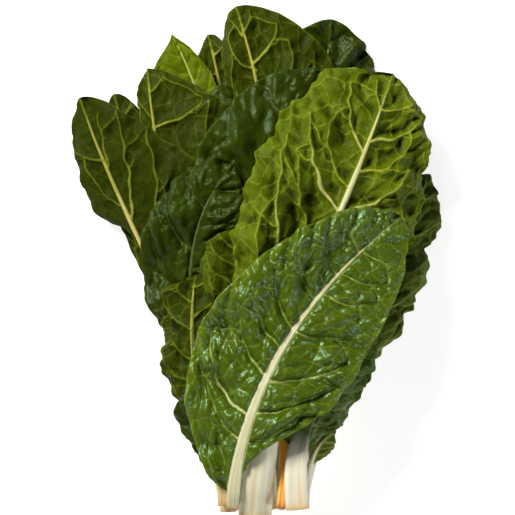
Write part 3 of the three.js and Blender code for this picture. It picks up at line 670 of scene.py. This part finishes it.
def leaf_skin(name, flesh, deep, vein, main_vein, edge, rough, net=0.5, shine=0.3, glow=0.1,
              edge_from=0.94, sheen="#ffffff"):
    """Living leaf skin: wax over green cells. It has two greens in patches, painted shade that
    darkens the dips of its relief, paler where a vein or the margin thins it, a highlight tinted by
    the wax, and a little light let through."""
    # The finest veins are about 1 mm apart on a real leaf, and the cells of its skin far finer.
    # The threads and the grain are drawn coarser than those, so that they show.
    patch_size, thread_size, grain_size = 26.3158 * MM, 2.63158 * MM, 1.11111 * MM
    material, tree = blank_material(name)
    height, margin, fine_gap, net_gap, vein_gap, strength = [
        add(tree, "ShaderNodeAttribute", out=2, attribute_name=key)
        for key in ("height", "margin", "fine_gap", "net_gap", "vein_gap", "vein_strength")]
    place = add(tree, "ShaderNodeTexCoord", out=3)
    patches = add(tree, "ShaderNodeTexNoise", {"Vector": place, "Scale": 1 / patch_size,
                                               "Detail": 4.0})
    threads = add(tree, "ShaderNodeTexVoronoi", {"Vector": place, "Scale": 1 / thread_size},
                  feature="DISTANCE_TO_EDGE")
    grain = add(tree, "ShaderNodeTexNoise", {"Vector": place, "Scale": 1 / grain_size,
                                             "Detail": 3.0})

    # Painted shade: as the height over the nearby mean falls from 0.2 to -3.2 mm, the colour
    # darkens up to 0.8 of the way to the deep colour, as if shade lay in the dips.
    painted_hollow_shade = add(tree, "ShaderNodeMapRange", {0: height, 1: -3.2, 2: 0.2, 3: 0.8, 4: 0.0},
                 interpolation_type="SMOOTHSTEP")
    patch = add(tree, "ShaderNodeMapRange", {0: patches, 1: 0.35, 2: 0.65, 3: 0.22, 4: 0.0})
    shade_and_patches = add(tree, "ShaderNodeMath", {0: painted_hollow_shade, 1: patch}, operation="MAXIMUM")
    at_edge = add(tree, "ShaderNodeMapRange", {0: margin, 1: edge_from, 2: 1.0, 3: 0.0, 4: 0.55})

    # The network's lines fade between two gaps in mm, and the threads' in shares of a thread.
    lines = 0.0
    for gap, inner, outer, share in ((threads, 0.0, 0.1, 0.25), (fine_gap, 0.05, 0.5, 0.35),
                                     (net_gap, 0.1, 0.65, 1.0)):
        line = add(tree, "ShaderNodeMapRange", {0: gap, 1: inner, 2: outer, 3: share * net, 4: 0.0})
        lines = add(tree, "ShaderNodeMath", {0: line, 1: lines}, operation="MAXIMUM")
    on_vein = add(tree, "ShaderNodeMapRange", {0: vein_gap, 1: 0.0, 2: 0.6, 3: 1.0, 4: 0.0})
    clear = add(tree, "ShaderNodeMapRange", {0: strength, 1: 0.0, 2: 0.6, 3: 0.45, 4: 1.0})
    main = add(tree, "ShaderNodeMath", {0: on_vein, 1: clear}, operation="MULTIPLY")
    paleness = add(tree, "ShaderNodeMapRange", {0: strength, 1: 0.45, 2: 1.1})
    pale = add(tree, "ShaderNodeMix", {0: paleness, 6: linear(vein), 7: linear(main_vein)},
               out=2, data_type="RGBA")
    colour = linear(flesh)
    # The deep colour serves both the random patches and the painted shade in the dips.
    for share, layer in ((shade_and_patches, linear(deep)), (at_edge, linear(edge)),
                         (lines, linear(vein)), (main, pale)):
        colour = add(tree, "ShaderNodeMix", {0: share, 6: colour, 7: layer},
                     out=2, data_type="RGBA")

    dull = add(tree, "ShaderNodeMapRange", {0: patches, 1: 0.3, 2: 0.7, 3: rough - 0.04,
                                            4: rough + 0.06})
    pores = add(tree, "ShaderNodeMath", {0: grain, 1: threads}, operation="ADD")
    bump = add(tree, "ShaderNodeBump", {"Strength": 0.4, "Distance": 0.5 * MM, "Height": pores})
    body = add(tree, "ShaderNodeBsdfPrincipled", {
        "Base Color": colour, "Roughness": dull, "Normal": bump, "Specular IOR Level": shine,
        "Specular Tint": linear(sheen)})
    through = add(tree, "ShaderNodeBsdfTranslucent", {"Color": colour})
    both_ways = add(tree, "ShaderNodeMixShader", {0: glow, 1: body, 2: through})
    add(tree, "ShaderNodeOutputMaterial", {"Surface": both_ways})
    return material


def stalk_flesh(name, pale, shade, blade_end, cut, green_from=0.25, green_over=0.6):
    """Crisp watery stalk flesh, cut with a knife: satin, with strings that run its length
    and light that spreads a few mm inside. It is brown where the cut has dried, and turns
    to the blade's green as it thins into the midrib."""
    # Real strings are about 1 mm apart. 26 round a stalk puts them 0.8 to 2 mm apart.
    strings_round = 26.0
    string_length = 83.3333     # in mm, over which one streak gives way to the next
    stain_scale = 0.3           # a stain spans about three strings
    material, tree = blank_material(name)
    lengthwise, round_it, on_blade, near_cut = [
        add(tree, "ShaderNodeAttribute", out=2, attribute_name=key)
        for key in ("lengthwise", "round", "on_blade", "cut_end")]
    along = add(tree, "ShaderNodeMath", {0: lengthwise, 1: 1 / string_length},
                operation="MULTIPLY")
    around = add(tree, "ShaderNodeMath", {0: round_it, 1: strings_round}, operation="MULTIPLY")
    place = add(tree, "ShaderNodeCombineXYZ", {0: around, 1: along})
    strings = add(tree, "ShaderNodeTexNoise", {"Vector": place, "Scale": 1.0, "Detail": 3.0})
    streaks = add(tree, "ShaderNodeMapRange", {0: strings, 1: 0.35, 2: 0.7})
    greening = add(tree, "ShaderNodeMapRange", {0: on_blade, 1: green_from,
                                                2: green_from + green_over, 3: 0.0, 4: 0.9})
    patchy = add(tree, "ShaderNodeTexNoise", {"Vector": place, "Scale": stain_scale, "Detail": 1.0})
    stains = add(tree, "ShaderNodeMapRange", {0: patchy, 1: 0.5, 2: 0.68, 3: 0.0, 4: 0.9})
    stained = add(tree, "ShaderNodeMath", {0: stains, 1: near_cut}, operation="MULTIPLY")
    dried = add(tree, "ShaderNodeMath", {0: near_cut, 1: 8.0}, operation="POWER")
    browning = add(tree, "ShaderNodeMath", {0: dried, 1: stained}, operation="MAXIMUM")
    colour = linear(pale)
    for share, layer in ((streaks, shade), (greening, blade_end), (browning, cut)):
        colour = add(tree, "ShaderNodeMix", {0: share, 6: colour, 7: linear(layer)},
                     out=2, data_type="RGBA")
    bump = add(tree, "ShaderNodeBump", {"Strength": 0.5, "Distance": 0.5 * MM, "Height": strings})
    body = add(tree, "ShaderNodeBsdfPrincipled", {
        "Base Color": colour, "Roughness": 0.38, "Normal": bump, "IOR": 1.4,
        "Subsurface Weight": 0.15, "Subsurface Radius": (4 * MM, 3 * MM, 1.5 * MM)})
    add(tree, "ShaderNodeOutputMaterial", {"Surface": body})
    return material


# Upper skin: wax over full green. Soft highlights with a blue-green tint.
dark_upper = leaf_skin("waxy_upper_skin", flesh="#455806", deep="#1c2a00", vein="#76882a",
                       main_vein="#98a24c", edge="#627610", rough=0.36, net=0.3, shine=0.25,
                       sheen="#9fd2c4")
# Under skin: little wax and many pores. Dull olive green with a faint vein network.
dark_under = leaf_skin("dull_under_skin", flesh="#2e3902", deep="#0e1400", vein="#6c7a1e",
                       main_vein="#a8a44e", edge="#4a560c", rough=0.55, net=0.14, shine=0.04)
# White stalk: pale watery flesh. Cream with faint fibres, yellow-green along the midrib.
cream_flesh = stalk_flesh("cream_stalk_flesh", pale="#e5e4cb", shade="#d0cfae",
                          blade_end="#a9b765", cut="#cbab6e")

grow("back_middle", faces="down",
     spine=[[4, 3, 5], [14, 113, 6], [22, 224, 5], [34, 330, 4]], petiole=105, stalk=[16, 8],
     left=[3, 24, 40, 50, 54, 52, 45, 34, 22], right=[3, 24, 40, 50, 54, 52, 45, 34, 22],
     bend=[[2, 8], [2, 8]], roll=[0, 0], wave=[4, 80, 0],
     skins=(dark_upper, dark_under), flesh=cream_flesh,
     spacing=3.0, seed=3)

grow("back_left", faces="down",
     spine=[[-14, 5, 5], [-30, 94, 7], [-50, 180, 6], [-88, 268, 4]], petiole=90, stalk=[15, 8],
     left=[3, 14, 20, 24, 26, 26, 24, 20, 15], right=[3, 22, 38, 48, 52, 48, 40, 30, 20],
     bend=[[4, 20], [2, 6]], roll=[0, 0], wave=[4, 75, 1],
     skins=(dark_upper, dark_under), flesh=cream_flesh,
     spacing=2.8, seed=23)

grow("back_right", faces="down",
     spine=[[24, 5, 5], [44, 79, 7], [74, 142, 6], [104, 222, 4]], petiole=80, stalk=[16, 8],
     left=[3, 22, 36, 46, 50, 46, 39, 29, 20], right=[3, 8, 14, 20, 26, 28, 26, 21, 15],
     bend=[[2, 4], [4, 18]], roll=[0, 0], wave=[4, 70, 2],
     skins=(dark_upper, dark_under), flesh=cream_flesh,
     spacing=2.6, seed=43)

# ---- The far leaves -----------------------------------------------------------------------
# Three leaves with long bare stalks lie next, and only their tips come out past the others.
# The one at the right has a lobed glossy blade. The narrow one and the small one at the left
# lie with the dull underside up.

# Shaded upper skin: the same wax over a green much darker than the other upper skin's, nearly
# black: painted shade for leaves that lie under and between others. Small greenish highlights.
shaded_upper = leaf_skin("shaded_upper_skin", flesh="#2e3c02", deep="#0e1600", vein="#44521a",
                         main_vein="#586628", edge="#3e4e0a", rough=0.32, net=0.2, shine=0.22,
                         sheen="#b4d8b4")

grow("top_right", faces="up",
     spine=[[8, 4, 15], [24, 121, 15], [44, 240, 12], [53, 358, 9]], petiole=200, stalk=[12, 8],
     left=[3, 16, 26, 32, 38, 40, 38, 32, 25], right=[3, 16, 26, 36, 42, 41, 36, 28, 20],
     bend=[[4, 8], [-4, -20]], roll=[0, 2], wave=[4, 64, 0], edge_noise=5.5, ruffle=(5, 22),
     crumple=(2.2, 2.2), pairs=5,
     skins=(shaded_upper, dark_under), flesh=cream_flesh,
     spacing=1.6, seed=63)

# Light under skin: thinner and younger. Green-grey with a clear yellow vein network.
light_under = leaf_skin("light_under_skin", flesh="#323e02", deep="#101600", vein="#7a8822",
                        main_vein="#aeac50", edge="#54640e", rough=0.5, net=0.32, shine=0.05)

grow("grey_tip", faces="down",
     spine=[[-7, 4, 15], [-8, 119, 15], [-6, 236, 12], [-36, 347, 10]], petiole=205,
     stalk=[12, 8],
     left=[3, 12, 18, 22, 24, 21, 18, 14, 10], right=[3, 14, 24, 30, 32, 28, 22, 16, 11],
     bend=[[0, -20], [4, 10]], roll=[0, 0], wave=[3, 60, 1], ruffle=(3, 28), pairs=5,
     skins=(dark_upper, light_under), flesh=cream_flesh,
     spacing=1.6, seed=83)

grow("far_tip", faces="down",
     spine=[[-21, 4, 15], [-46, 101, 16], [-76, 198, 14], [-104, 304, 10]], petiole=150,
     stalk=[11, 7],
     left=[3, 12, 17, 20, 21, 19, 16, 13, 10], right=[3, 12, 18, 21, 22, 21, 20, 17, 13],
     bend=[[0, -10], [0, 10]], roll=[0, 0], wave=[3, 60, 2], pairs=5,
     skins=(dark_upper, dark_under), flesh=cream_flesh,
     spacing=1.8, seed=103)

# ---- The right-hand leaves ----------------------------------------------------------------
# Two leaves with their undersides up lean out over the right-hand side. Their margins hang
# down in deep folds and are crimped along the edge, where a blade grows fastest.

# Brightened under skin: the palest, a matt grey-green lighter than these leaves' own green, as
# painted light that makes up for the shade they lie in behind the taller leaves.
brightened_under = leaf_skin("brightened_under_skin", flesh="#5a6e20", deep="#223004", vein="#8e9a48",
                          main_vein="#b4b670", edge="#748636", rough=0.5, net=0.3, shine=0.06)

grow("right_low", faces="down",
     spine=[[30, 6, 15], [39, 66, 18], [74, 106, 14], [102, 171, 6]], petiole=58, stalk=[12, 8],
     left=[3, 18, 28, 34, 36, 34, 29, 22, 15], right=[3, 4, 6, 9, 14, 21, 24, 20, 15],
     bend=[[4, 6], [-8, -36]], roll=[0, 6], wave=[5, 52, 0], edge_noise=4, ruffle=(6, 30),
     crumple=(2.2, 2.2), pairs=5,
     skins=(dark_upper, brightened_under), flesh=cream_flesh,
     spacing=1.35, seed=123)

grow("right_high", faces="down",
     spine=[[27, 5, 25], [38, 93, 28], [82, 156, 26], [125, 246, 14]], petiole=88, stalk=[13, 8],
     left=[3, 22, 34, 42, 46, 42, 35, 25, 16], right=[3, 15, 24, 31, 34, 33, 28, 20, 13],
     bend=[[2, -6], [-8, -40]], roll=[0, 8], wave=[5, 56, 1], edge_noise=4, ruffle=(6, 27),
     crumple=(2.2, 2.2), pairs=5,
     skins=(dark_upper, brightened_under), flesh=cream_flesh,
     spacing=1.35, seed=143)

# ---- The heart leaves ---------------------------------------------------------------------
# A pale pointed leaf from the heart of the plant, thin enough to glow, and a short broad
# dark one beside it that the upper leaves nearly cover.

# Heart skin: thin, with little green in it yet. Yellow-green, and lets more light through.
young_skin = leaf_skin("young_skin", flesh="#5e7406", deep="#2a3a00", vein="#8e9a24",
                       main_vein="#a8ac48", edge="#748612", rough=0.45, net=0.25, shine=0.06,
                       glow=0.2)
# Thin green stalk: flesh with green cells up to its skin. Its midrib is a pale green line.
pale_green_flesh = stalk_flesh("pale_green_stalk_flesh", pale="#e0deb8", shade="#c6c890",
                               blade_end="#a6b65c", cut="#c9b184", green_from=-0.02,
                               green_over=0.35)

grow("pointed", faces="up",
     spine=[[-2, 3, 25], [-2, 120, 28], [-14, 254, 24], [-62, 347, 18]], petiole=245,
     stalk=[10, 7], neck=0.3,
     left=[2, 12, 18, 22, 25, 26, 25, 18, 3], right=[2, 12, 18, 20, 18, 15, 12, 8, 2],
     bend=[[10, 4], [10, 4]], roll=[0, 0], wave=[2, 60, 0], ruffle=(1, 20),
     blister=(1.5, 1.0, 0.4), thick=0.35,
     skins=(young_skin, young_skin), flesh=pale_green_flesh,
     spacing=1.4, seed=163)

grow("shaded", faces="up",
     spine=[[11, 4, 25], [0, 110, 30], [-14, 220, 26], [-17, 320, 22]], petiole=200,
     stalk=[10, 7],
     left=[2, 14, 22, 28, 31, 31, 27, 18, 3], right=[2, 14, 22, 28, 30, 28, 22, 14, 3],
     bend=[[0, -14], [0, -10]], roll=[0, 0], wave=[3, 50, 0], pairs=6,
     skins=(shaded_upper, dark_under), flesh=cream_flesh,
     spacing=1.8, seed=183)

# ---- The upper leaves ---------------------------------------------------------------------
# Two big leaves lie face down across the far half, so their raised midribs and the strong
# side veins of the underside show.

grow("second_left", faces="down",
     spine=[[-16, 3, 25], [-40, 107, 34], [-68, 212, 30], [-80, 322, 22]], petiole=150,
     stalk=[12, 8], neck=0.32,
     left=[3, 13, 18, 19, 19, 17, 13, 11, 10], right=[3, 28, 46, 58, 68, 73, 62, 42, 26],
     bend=[[-4, -34], [4, 2]], roll=[0, 0], wave=[4, 64, 1], edge_noise=3.0, crumple=(1.2, 1.2),
     blister=(2.4, 1.2, 0.2), arch=0.7, cells=15.0,
     laterals=[
         (1, 0.1, 40, 60, 1.0), (-1, 0.2, 16, 40, 0.8), (1, 0.4, 41, 76, 1.1),
         (-1, 0.5, 15, 30, 0.7), (1, 0.75, 38, 18, 1.1), (-1, 0.8, 10, 18, 0.6),
         (1, 0.9, 14, 14, 0.6)],
     skins=(dark_upper, light_under), flesh=pale_green_flesh,
     spacing=1.35, seed=203)

grow("top_middle", faces="down",
     spine=[[-4, 3, 35], [13, 125, 36], [24, 252, 32], [-16, 367, 24]], petiole=185,
     stalk=[13, 8], neck=0.32,
     left=[3, 20, 26, 27, 24, 22, 22, 22, 20], right=[3, 30, 48, 60, 65, 62, 53, 40, 28],
     bend=[[-4, -26], [4, -6]], roll=[0, 0], wave=[4, 60, 2], crumple=(1.3, 1.3),
     blister=(2.8, 1.3, 0.2), gather=1.3, arch=0.6, thick=0.8, cells=14.0,
     laterals=[
         (1, 0.08, 42, 60, 1.0), (-1, 0.2, 22, 40, 0.8), (1, 0.25, 46, 92, 1.0),
         (1, 0.46, 31, 64, 1.1), (-1, 0.52, 18, 28, 0.7), (-1, 0.73, 14, 28, 0.8),
         (1, 0.762, 25, 22, 1.1), (-1, 0.88, 7, 18, 0.7), (1, 0.89, 9, 14, 0.7)],
     skins=(dark_upper, light_under), flesh=pale_green_flesh,
     spacing=1.3, seed=223)

# ---- The left-hand leaf -------------------------------------------------------------------
# One leaf lies out to the far left, underside up, on a long bare fawn-coloured stalk. Its
# outer half is only a narrow strip up to the middle, and is rolled under from there on.

# Fawn stalk: flesh that has dried a little in the air. Darker streaks, warm and dull.
fawn_flesh = stalk_flesh("fawn_stalk_flesh", pale="#dccb9c", shade="#bb9c60", blade_end="#98a04a",
                         cut="#b8864a")

grow("far_left", faces="down",
     spine=[[-21, 2, 35], [-24, 97, 38], [-90, 190, 36], [-129, 301, 24]], petiole=108,
     stalk=[12, 8], neck=0.5,
     left=[3, 3, 4, 4, 4, 26, 25, 20, 15], right=[3, 26, 44, 58, 66, 63, 48, 32, 22],
     bend=[[-10, -30], [6, 6]], roll=[0, -2], wave=[4, 62, 0], edge_noise=2.5, crumple=(1.1, 1.1),
     blister=(2.2, 1.2, 0.2), arch=0.8, cells=15.0,
     laterals=[
         (1, 0.08, 16, 60, 0.8), (1, 0.39, 37, 90, 1.2), (1, 0.535, 21, 80, 1.1),
         (-1, 0.6, 10, 18, 0.6), (1, 0.745, 8, 38, 0.7), (-1, 0.77, 16, 14, 0.7)],
     skins=(dark_upper, dark_under), flesh=fawn_flesh,
     spacing=1.2, seed=243)

# ---- The middle leaf ----------------------------------------------------------------------
# A big glossy leaf, face up, on a thin stalk that has gone orange-brown where it was
# bruised. The stalk is held between the two widest ones of the bunch.

# Ochre stalk: bruised flesh. Two tones of orange in streaks, and brown at the cut. The oranges are
# lighter than the stalk's own, as painted light against the shade of the taller stalks beside it.
ochre_flesh = stalk_flesh("ochre_stalk_flesh", pale="#f2b44c", shade="#e08c1c",
                          blade_end="#a9a758", cut="#a0621c")

grow("middle", faces="up",
     spine=[[16.6, 6, 74], [32, 95, 50], [-26, 226, 44], [50, 317, 32]], petiole=112,
     stalk=[7, 8], neck=1.0,
     left=[3, 26, 42, 54, 60, 60, 52, 40, 28], right=[3, 20, 30, 34, 34, 32, 28, 22, 16],
     bend=[[-4, -12], [2, -6]], roll=[0, 0], wave=[3, 66, 1], crumple=(1.5, 1.5),
     crinkle=(0.3, 0.3), blister=(2.4, 1.0, 0.2), pairs=4, thick=0.35,
     skins=(shaded_upper, dark_under), flesh=ochre_flesh,
     spacing=1.3, seed=263)

# ---- The right-hand small leaves ----------------------------------------------------------
# A small twisted leaf stands out low at the right, and above it a glossy lobed one with a
# wide white stalk.

grow("small_twist", faces="down",
     spine=[[34, 10, 35], [35, 36, 38], [43, 55, 40], [57, 60, 36]], petiole=28, stalk=[7, 6],
     left=[2, 4, 6, 7, 7, 6, 5, 4, 2], right=[2, 6, 10, 12, 13, 13, 12, 8, 2],
     bend=[[10, 30], [-20, -40]], roll=[0, 10], wave=[1.5, 40, 0], ruffle=(1, 12),
     blister=(1.0, 0.6, 0.2), pairs=4, thick=0.5,
     skins=(dark_upper, brightened_under), flesh=cream_flesh,
     spacing=0.9, seed=283)

# Wide white stalk: thick flesh with little green in it. A cooler white than the cream
# stalks, and a midrib that turns dark green as soon as the blade begins.
white_flesh = stalk_flesh("white_stalk_flesh", pale="#d8d7c8", shade="#c8c7b0",
                          blade_end="#4e6a1c", cut="#cbab6e", green_from=0.0, green_over=0.12)

grow("glossy_right", faces="up",
     spine=[[28.6, 5, 70], [24, 60, 64], [30, 70, 50], [84, 122, 28]], petiole=46, stalk=[17, 9],
     neck=0.8,
     left=[12, 16, 22, 27, 29, 28, 25, 19, 13], right=[6, 15, 20, 24, 25, 23, 20, 15, 11],
     bend=[[2, 6], [-16, -46]], roll=[0, 6], wave=[4, 46, 2], pairs=5,
     skins=(dark_upper, dark_under), flesh=white_flesh,
     spacing=1.1, seed=303)

# ---- The left-hand small leaves -----------------------------------------------------------
# A dark leaf folded along its midrib, a light one beside it with its underside up, a short
# dark one with a tan stalk, and a young yellow-green one fill the left-hand side.

# Green stalk: its midrib is as dark as the blade, so that only the bare stalk shows pale.
green_flesh = stalk_flesh("green_stalk_flesh", pale="#e0deb8", shade="#c6c890",
                          blade_end="#3a4f10", cut="#c9b184", green_from=-0.02, green_over=0.15)

grow("folded", faces="up",
     spine=[[-20, 5, 45], [-34, 86, 52], [-78, 183, 56], [-18, 252, 44]], petiole=50,
     stalk=[11, 7], neck=0.4,
     left=[3, 12, 18, 24, 33, 38, 39, 33, 26], right=[3, 20, 30, 36, 40, 40, 37, 30, 22],
     bend=[[-10, -36], [8, 14]], roll=[0, -4], wave=[4, 58, 0], edge_noise=3.0,
     crumple=(2.4, 2.4), crinkle=(0.7, 0.7), blister=(3.2, 1.6, 0.3), pairs=6, thick=0.45,
     cells=9.0,
     skins=(shaded_upper, dark_under), flesh=green_flesh,
     spacing=1.1, seed=323)

grow("low_left", faces="down",
     spine=[[-20, 6, 40], [-30, 50, 52], [-56, 100, 60], [-44, 176, 50]], petiole=62,
     stalk=[13, 7], neck=0.32,
     left=[4, 16, 25, 28, 27, 25, 24, 20, 14], right=[3, 16, 24, 28, 30, 29, 26, 20, 14],
     bend=[[-10, -44], [2, -6]], roll=[0, -4], wave=[4, 50, 1], edge_noise=3, ruffle=(4, 26),
     crumple=(1.8, 1.8), pairs=5, thick=0.45, cells=9.0,
     skins=(dark_upper, light_under), flesh=green_flesh,
     spacing=1.1, seed=343)

# Tan stalk: an older stalk whose skin has browned. Tan in streaks, and ochre at the cut.
tan_flesh = stalk_flesh("tan_stalk_flesh", pale="#e6d6ae", shade="#d0b478", blade_end="#5c7426",
                        cut="#c08a3e", green_from=0.0, green_over=0.3)

grow("low_front", faces="up",
     spine=[[-22, 7, 55], [-24, 40, 62], [-34, 68, 68], [-34, 118, 66]], petiole=24,
     stalk=[13, 7],
     left=[3, 14, 19, 25, 27, 24, 18, 13, 9], right=[3, 10, 16, 20, 22, 20, 16, 12, 8],
     bend=[[4, -40], [2, 4]], roll=[0, 0], wave=[3, 40, 1], edge_noise=2.5, crumple=(1.2, 1.2),
     pairs=4, thick=0.45,
     skins=(shaded_upper, dark_under), flesh=tan_flesh,
     spacing=1.0, seed=431)

# Tender under skin: a young blade's. Fresh olive green with a close vein network.
tender_under = leaf_skin("tender_under_skin", flesh="#3e4e02", deep="#141c00", vein="#7c8a26",
                         main_vein="#9ca246", edge="#586a14", rough=0.5, net=0.4, shine=0.05)

grow("young", faces="down",
     spine=[[-3, 8, 45], [-8, 73, 58], [-16, 139, 62], [-14, 207, 54]], petiole=125, stalk=[8, 6],
     left=[2, 12, 20, 26, 30, 30, 27, 21, 14], right=[2, 8, 12, 14, 15, 14, 12, 10, 8],
     bend=[[-4, -26], [2, -6]], roll=[0, 0], wave=[3, 44, 0], edge_noise=3.0, crumple=(1.8, 1.8),
     blister=(1.8, 1.2, 0.4), pairs=5, thick=0.45, cells=9.0,
     skins=(young_skin, tender_under), flesh=cream_flesh,
     spacing=1.1, seed=363)

# ---- The broad leaf -----------------------------------------------------------------------
# The widest leaf lies face down over them all. Its stalk is the broad white one at the
# middle of the cut end, and its blade is crumpled between thick raised veins.

# Bright under skin: a full-grown blade's in good light. Light green, cream main veins.
bright_under = leaf_skin("bright_under_skin", flesh="#556806", deep="#172100", vein="#98a232",
                         main_vein="#cfcc8c", edge="#6c7e12", rough=0.48, net=0.45, shine=0.06)

grow("broad", faces="down",
     spine=[[-2, 0, 55], [3, 112, 76], [64, 214, 82], [98, 319, 48]], petiole=92,
     stalk=[23.5, 11], neck=0.5,
     left=[4, 34, 54, 66, 72, 73, 70, 60, 80], right=[4, 26, 42, 52, 58, 60, 57, 46, 46],
     bend=[[-2, -14], [-2, -32]], roll=[0, 0], wave=[4, 74, 0], edge_noise=4.5, ruffle=(4.5, 27),
     crumple=(2.4, 2.4), crinkle=(0.3, 0.3), blister=(4.0, 2.0, 0.3), gather=1.3, arch=0.7,
     thick=0.9, cells=15.0,
     laterals=[
         (1, 0.08, 38, 46, 1.0), (-1, 0.1, 42, 60, 1.0), (-1, 0.235, 57, 118, 1.1),
         (1, 0.25, 46, 60, 0.9), (1, 0.4, 46, 50, 0.8), (-1, 0.42, 42, 60, 0.6),
         (-1, 0.545, 47, 66, 1.1), (1, 0.55, 36, 50, 1.0), (-1, 0.62, 29, 33, 0.5),
         (1, 0.683, 22, 14, 0.7), (-1, 0.735, 27, 49, 0.9), (1, 0.777, 33, 32, 0.8),
         (-1, 0.88, 9, 20, 0.6), (1, 0.88, 22, 14, 0.6)],
     skins=(dark_upper, bright_under), flesh=cream_flesh,
     spacing=0.98, seed=383)

# ---- The front leaf -----------------------------------------------------------------------
# The last leaf lies on top, glossy side up, with a narrow stalk at the left of the cut end
# and a cream midrib that curves to the right.

# Fresh upper skin: the glossiest, with unbroken wax. Crisp highlights, a lighter margin.
front_skin = leaf_skin("fresh_upper_skin", flesh="#465c02", deep="#203202", vein="#8ea03c",
                       main_vein="#cdd09a", edge="#687c0e", rough=0.28, net=0.4, shine=0.65,
                       edge_from=0.84, sheen="#aedcc0")
# Khaki stalk: flesh with a trace of green. It stays a dull cream halfway up the blade.
khaki_flesh = stalk_flesh("khaki_stalk_flesh", pale="#dadab6", shade="#c4c49a",
                          blade_end="#b4bc6c", cut="#b89c68", green_from=0.5, green_over=0.5)

grow("front", faces="up",
     spine=[[-18, 5, 64], [-14, 93, 86], [39, 165, 94], [103, 214, 60]], petiole=12,
     stalk=[8.5, 7], neck=1.1,
     left=[12, 33, 50, 57, 57, 51, 42, 32, 24], right=[2, 11, 37, 52, 54, 52, 46, 36, 27],
     bend=[[2, -14], [4, -26]], roll=[0, 2], wave=[3, 76, 2], edge_noise=1.2, ruffle=(2.0, 40),
     crumple=(2.5, 1.4), crinkle=(0.7, 0.5), blister=(3.4, 2.2, 0.2), flatter=0.65, gather=1.0,
     cells=12.0,
     laterals=[
         (1, 0.154, 36, 34, 1.0), (-1, 0.164, 18, 10, 1.0), (-1, 0.233, 50, 42, 1.4),
         (1, 0.246, 46, 46, 0.9), (1, 0.354, 44, 42, 0.9), (-1, 0.367, 44, 34, 0.9),
         (-1, 0.461, 36, 18, 0.7), (1, 0.517, 38, 26, 0.8), (-1, 0.526, 38, 30, 0.7),
         (-1, 0.634, 32, 20, 0.6), (1, 0.655, 34, 24, 0.6), (-1, 0.733, 26, 18, 0.5),
         (1, 0.741, 30, 20, 0.5), (-1, 0.828, 20, 14, 0.5), (1, 0.836, 24, 14, 0.5)],
     skins=(front_skin, dark_under), flesh=khaki_flesh,
     spacing=0.92, seed=403)

# ---- The table, light and camera -------------------------------------------------------
# A plain pale table top, lit a little from below like a light table so that it stays white
# under the bunch. A large soft window stands beyond the bunch at its left, two small weak
# lamps fill in from the right and the near end, and the camera looks straight down.

bpy.ops.mesh.primitive_plane_add(size=6.0)
table_top = bpy.context.object
table_top.name = "table_top"
# Matt pale paint on a board. It gives no highlight, and its glow keeps the shadows pale.
paint, paint_tree = blank_material("matt_pale_paint")
surface = add(paint_tree, "ShaderNodeBsdfPrincipled", {
    "Base Color": linear("#c0c0be"), "Roughness": 0.8, "Emission Color": linear("#ffffff"),
    "Emission Strength": 0.78})
add(paint_tree, "ShaderNodeOutputMaterial", {"Surface": surface})
table_top.data.materials.append(paint)


def lamp(name, place, size, power, colour):
    """A square area light that points at the middle of the table."""
    light = bpy.data.lights.new(name, "AREA")
    light.size = size
    light.energy = power
    light.color = linear(colour)[:3]
    made = bpy.data.objects.new(name, light)
    made.location = place
    made.rotation_euler = (-Vector(place)).to_track_quat("-Z", "Y").to_euler()
    bpy.context.scene.collection.objects.link(made)


lamp("window", place=(-1.2, 1.4, 1.7), size=0.9, power=99, colour="#fffaf0")
lamp("fill", place=(2.2, -1.2, 1.1), size=0.6, power=24, colour="#ffffff")
lamp("side", place=(-0.3, -2.2, 1.5), size=0.6, power=12, colour="#ffffff")
world = bpy.data.worlds.new("room")
bpy.context.scene.world = world
world.use_nodes = True
room = world.node_tree.nodes["Background"]
room.inputs["Color"].default_value = linear("#ffffff")
room.inputs["Strength"].default_value = 0.06

CAMERA_HEIGHT = 6.0
FOCUS_HEIGHT = 0.045        # height in the bunch at which the picture has its true width
SEEN_WIDTH = 0.371
SENSOR_WIDTH = 36.0         # of a full-frame camera, in mm
lens = bpy.data.cameras.new("camera")
lens.sensor_width = SENSOR_WIDTH
lens.lens = SENSOR_WIDTH * (CAMERA_HEIGHT - FOCUS_HEIGHT) / SEEN_WIDTH
lens.clip_end = 20.0
camera = bpy.data.objects.new("camera", lens)
camera.location = (0.00275, 0.0009, CAMERA_HEIGHT)
bpy.context.scene.collection.objects.link(camera)
bpy.context.scene.camera = camera
bpy.context.scene.view_settings.view_transform = "Standard"
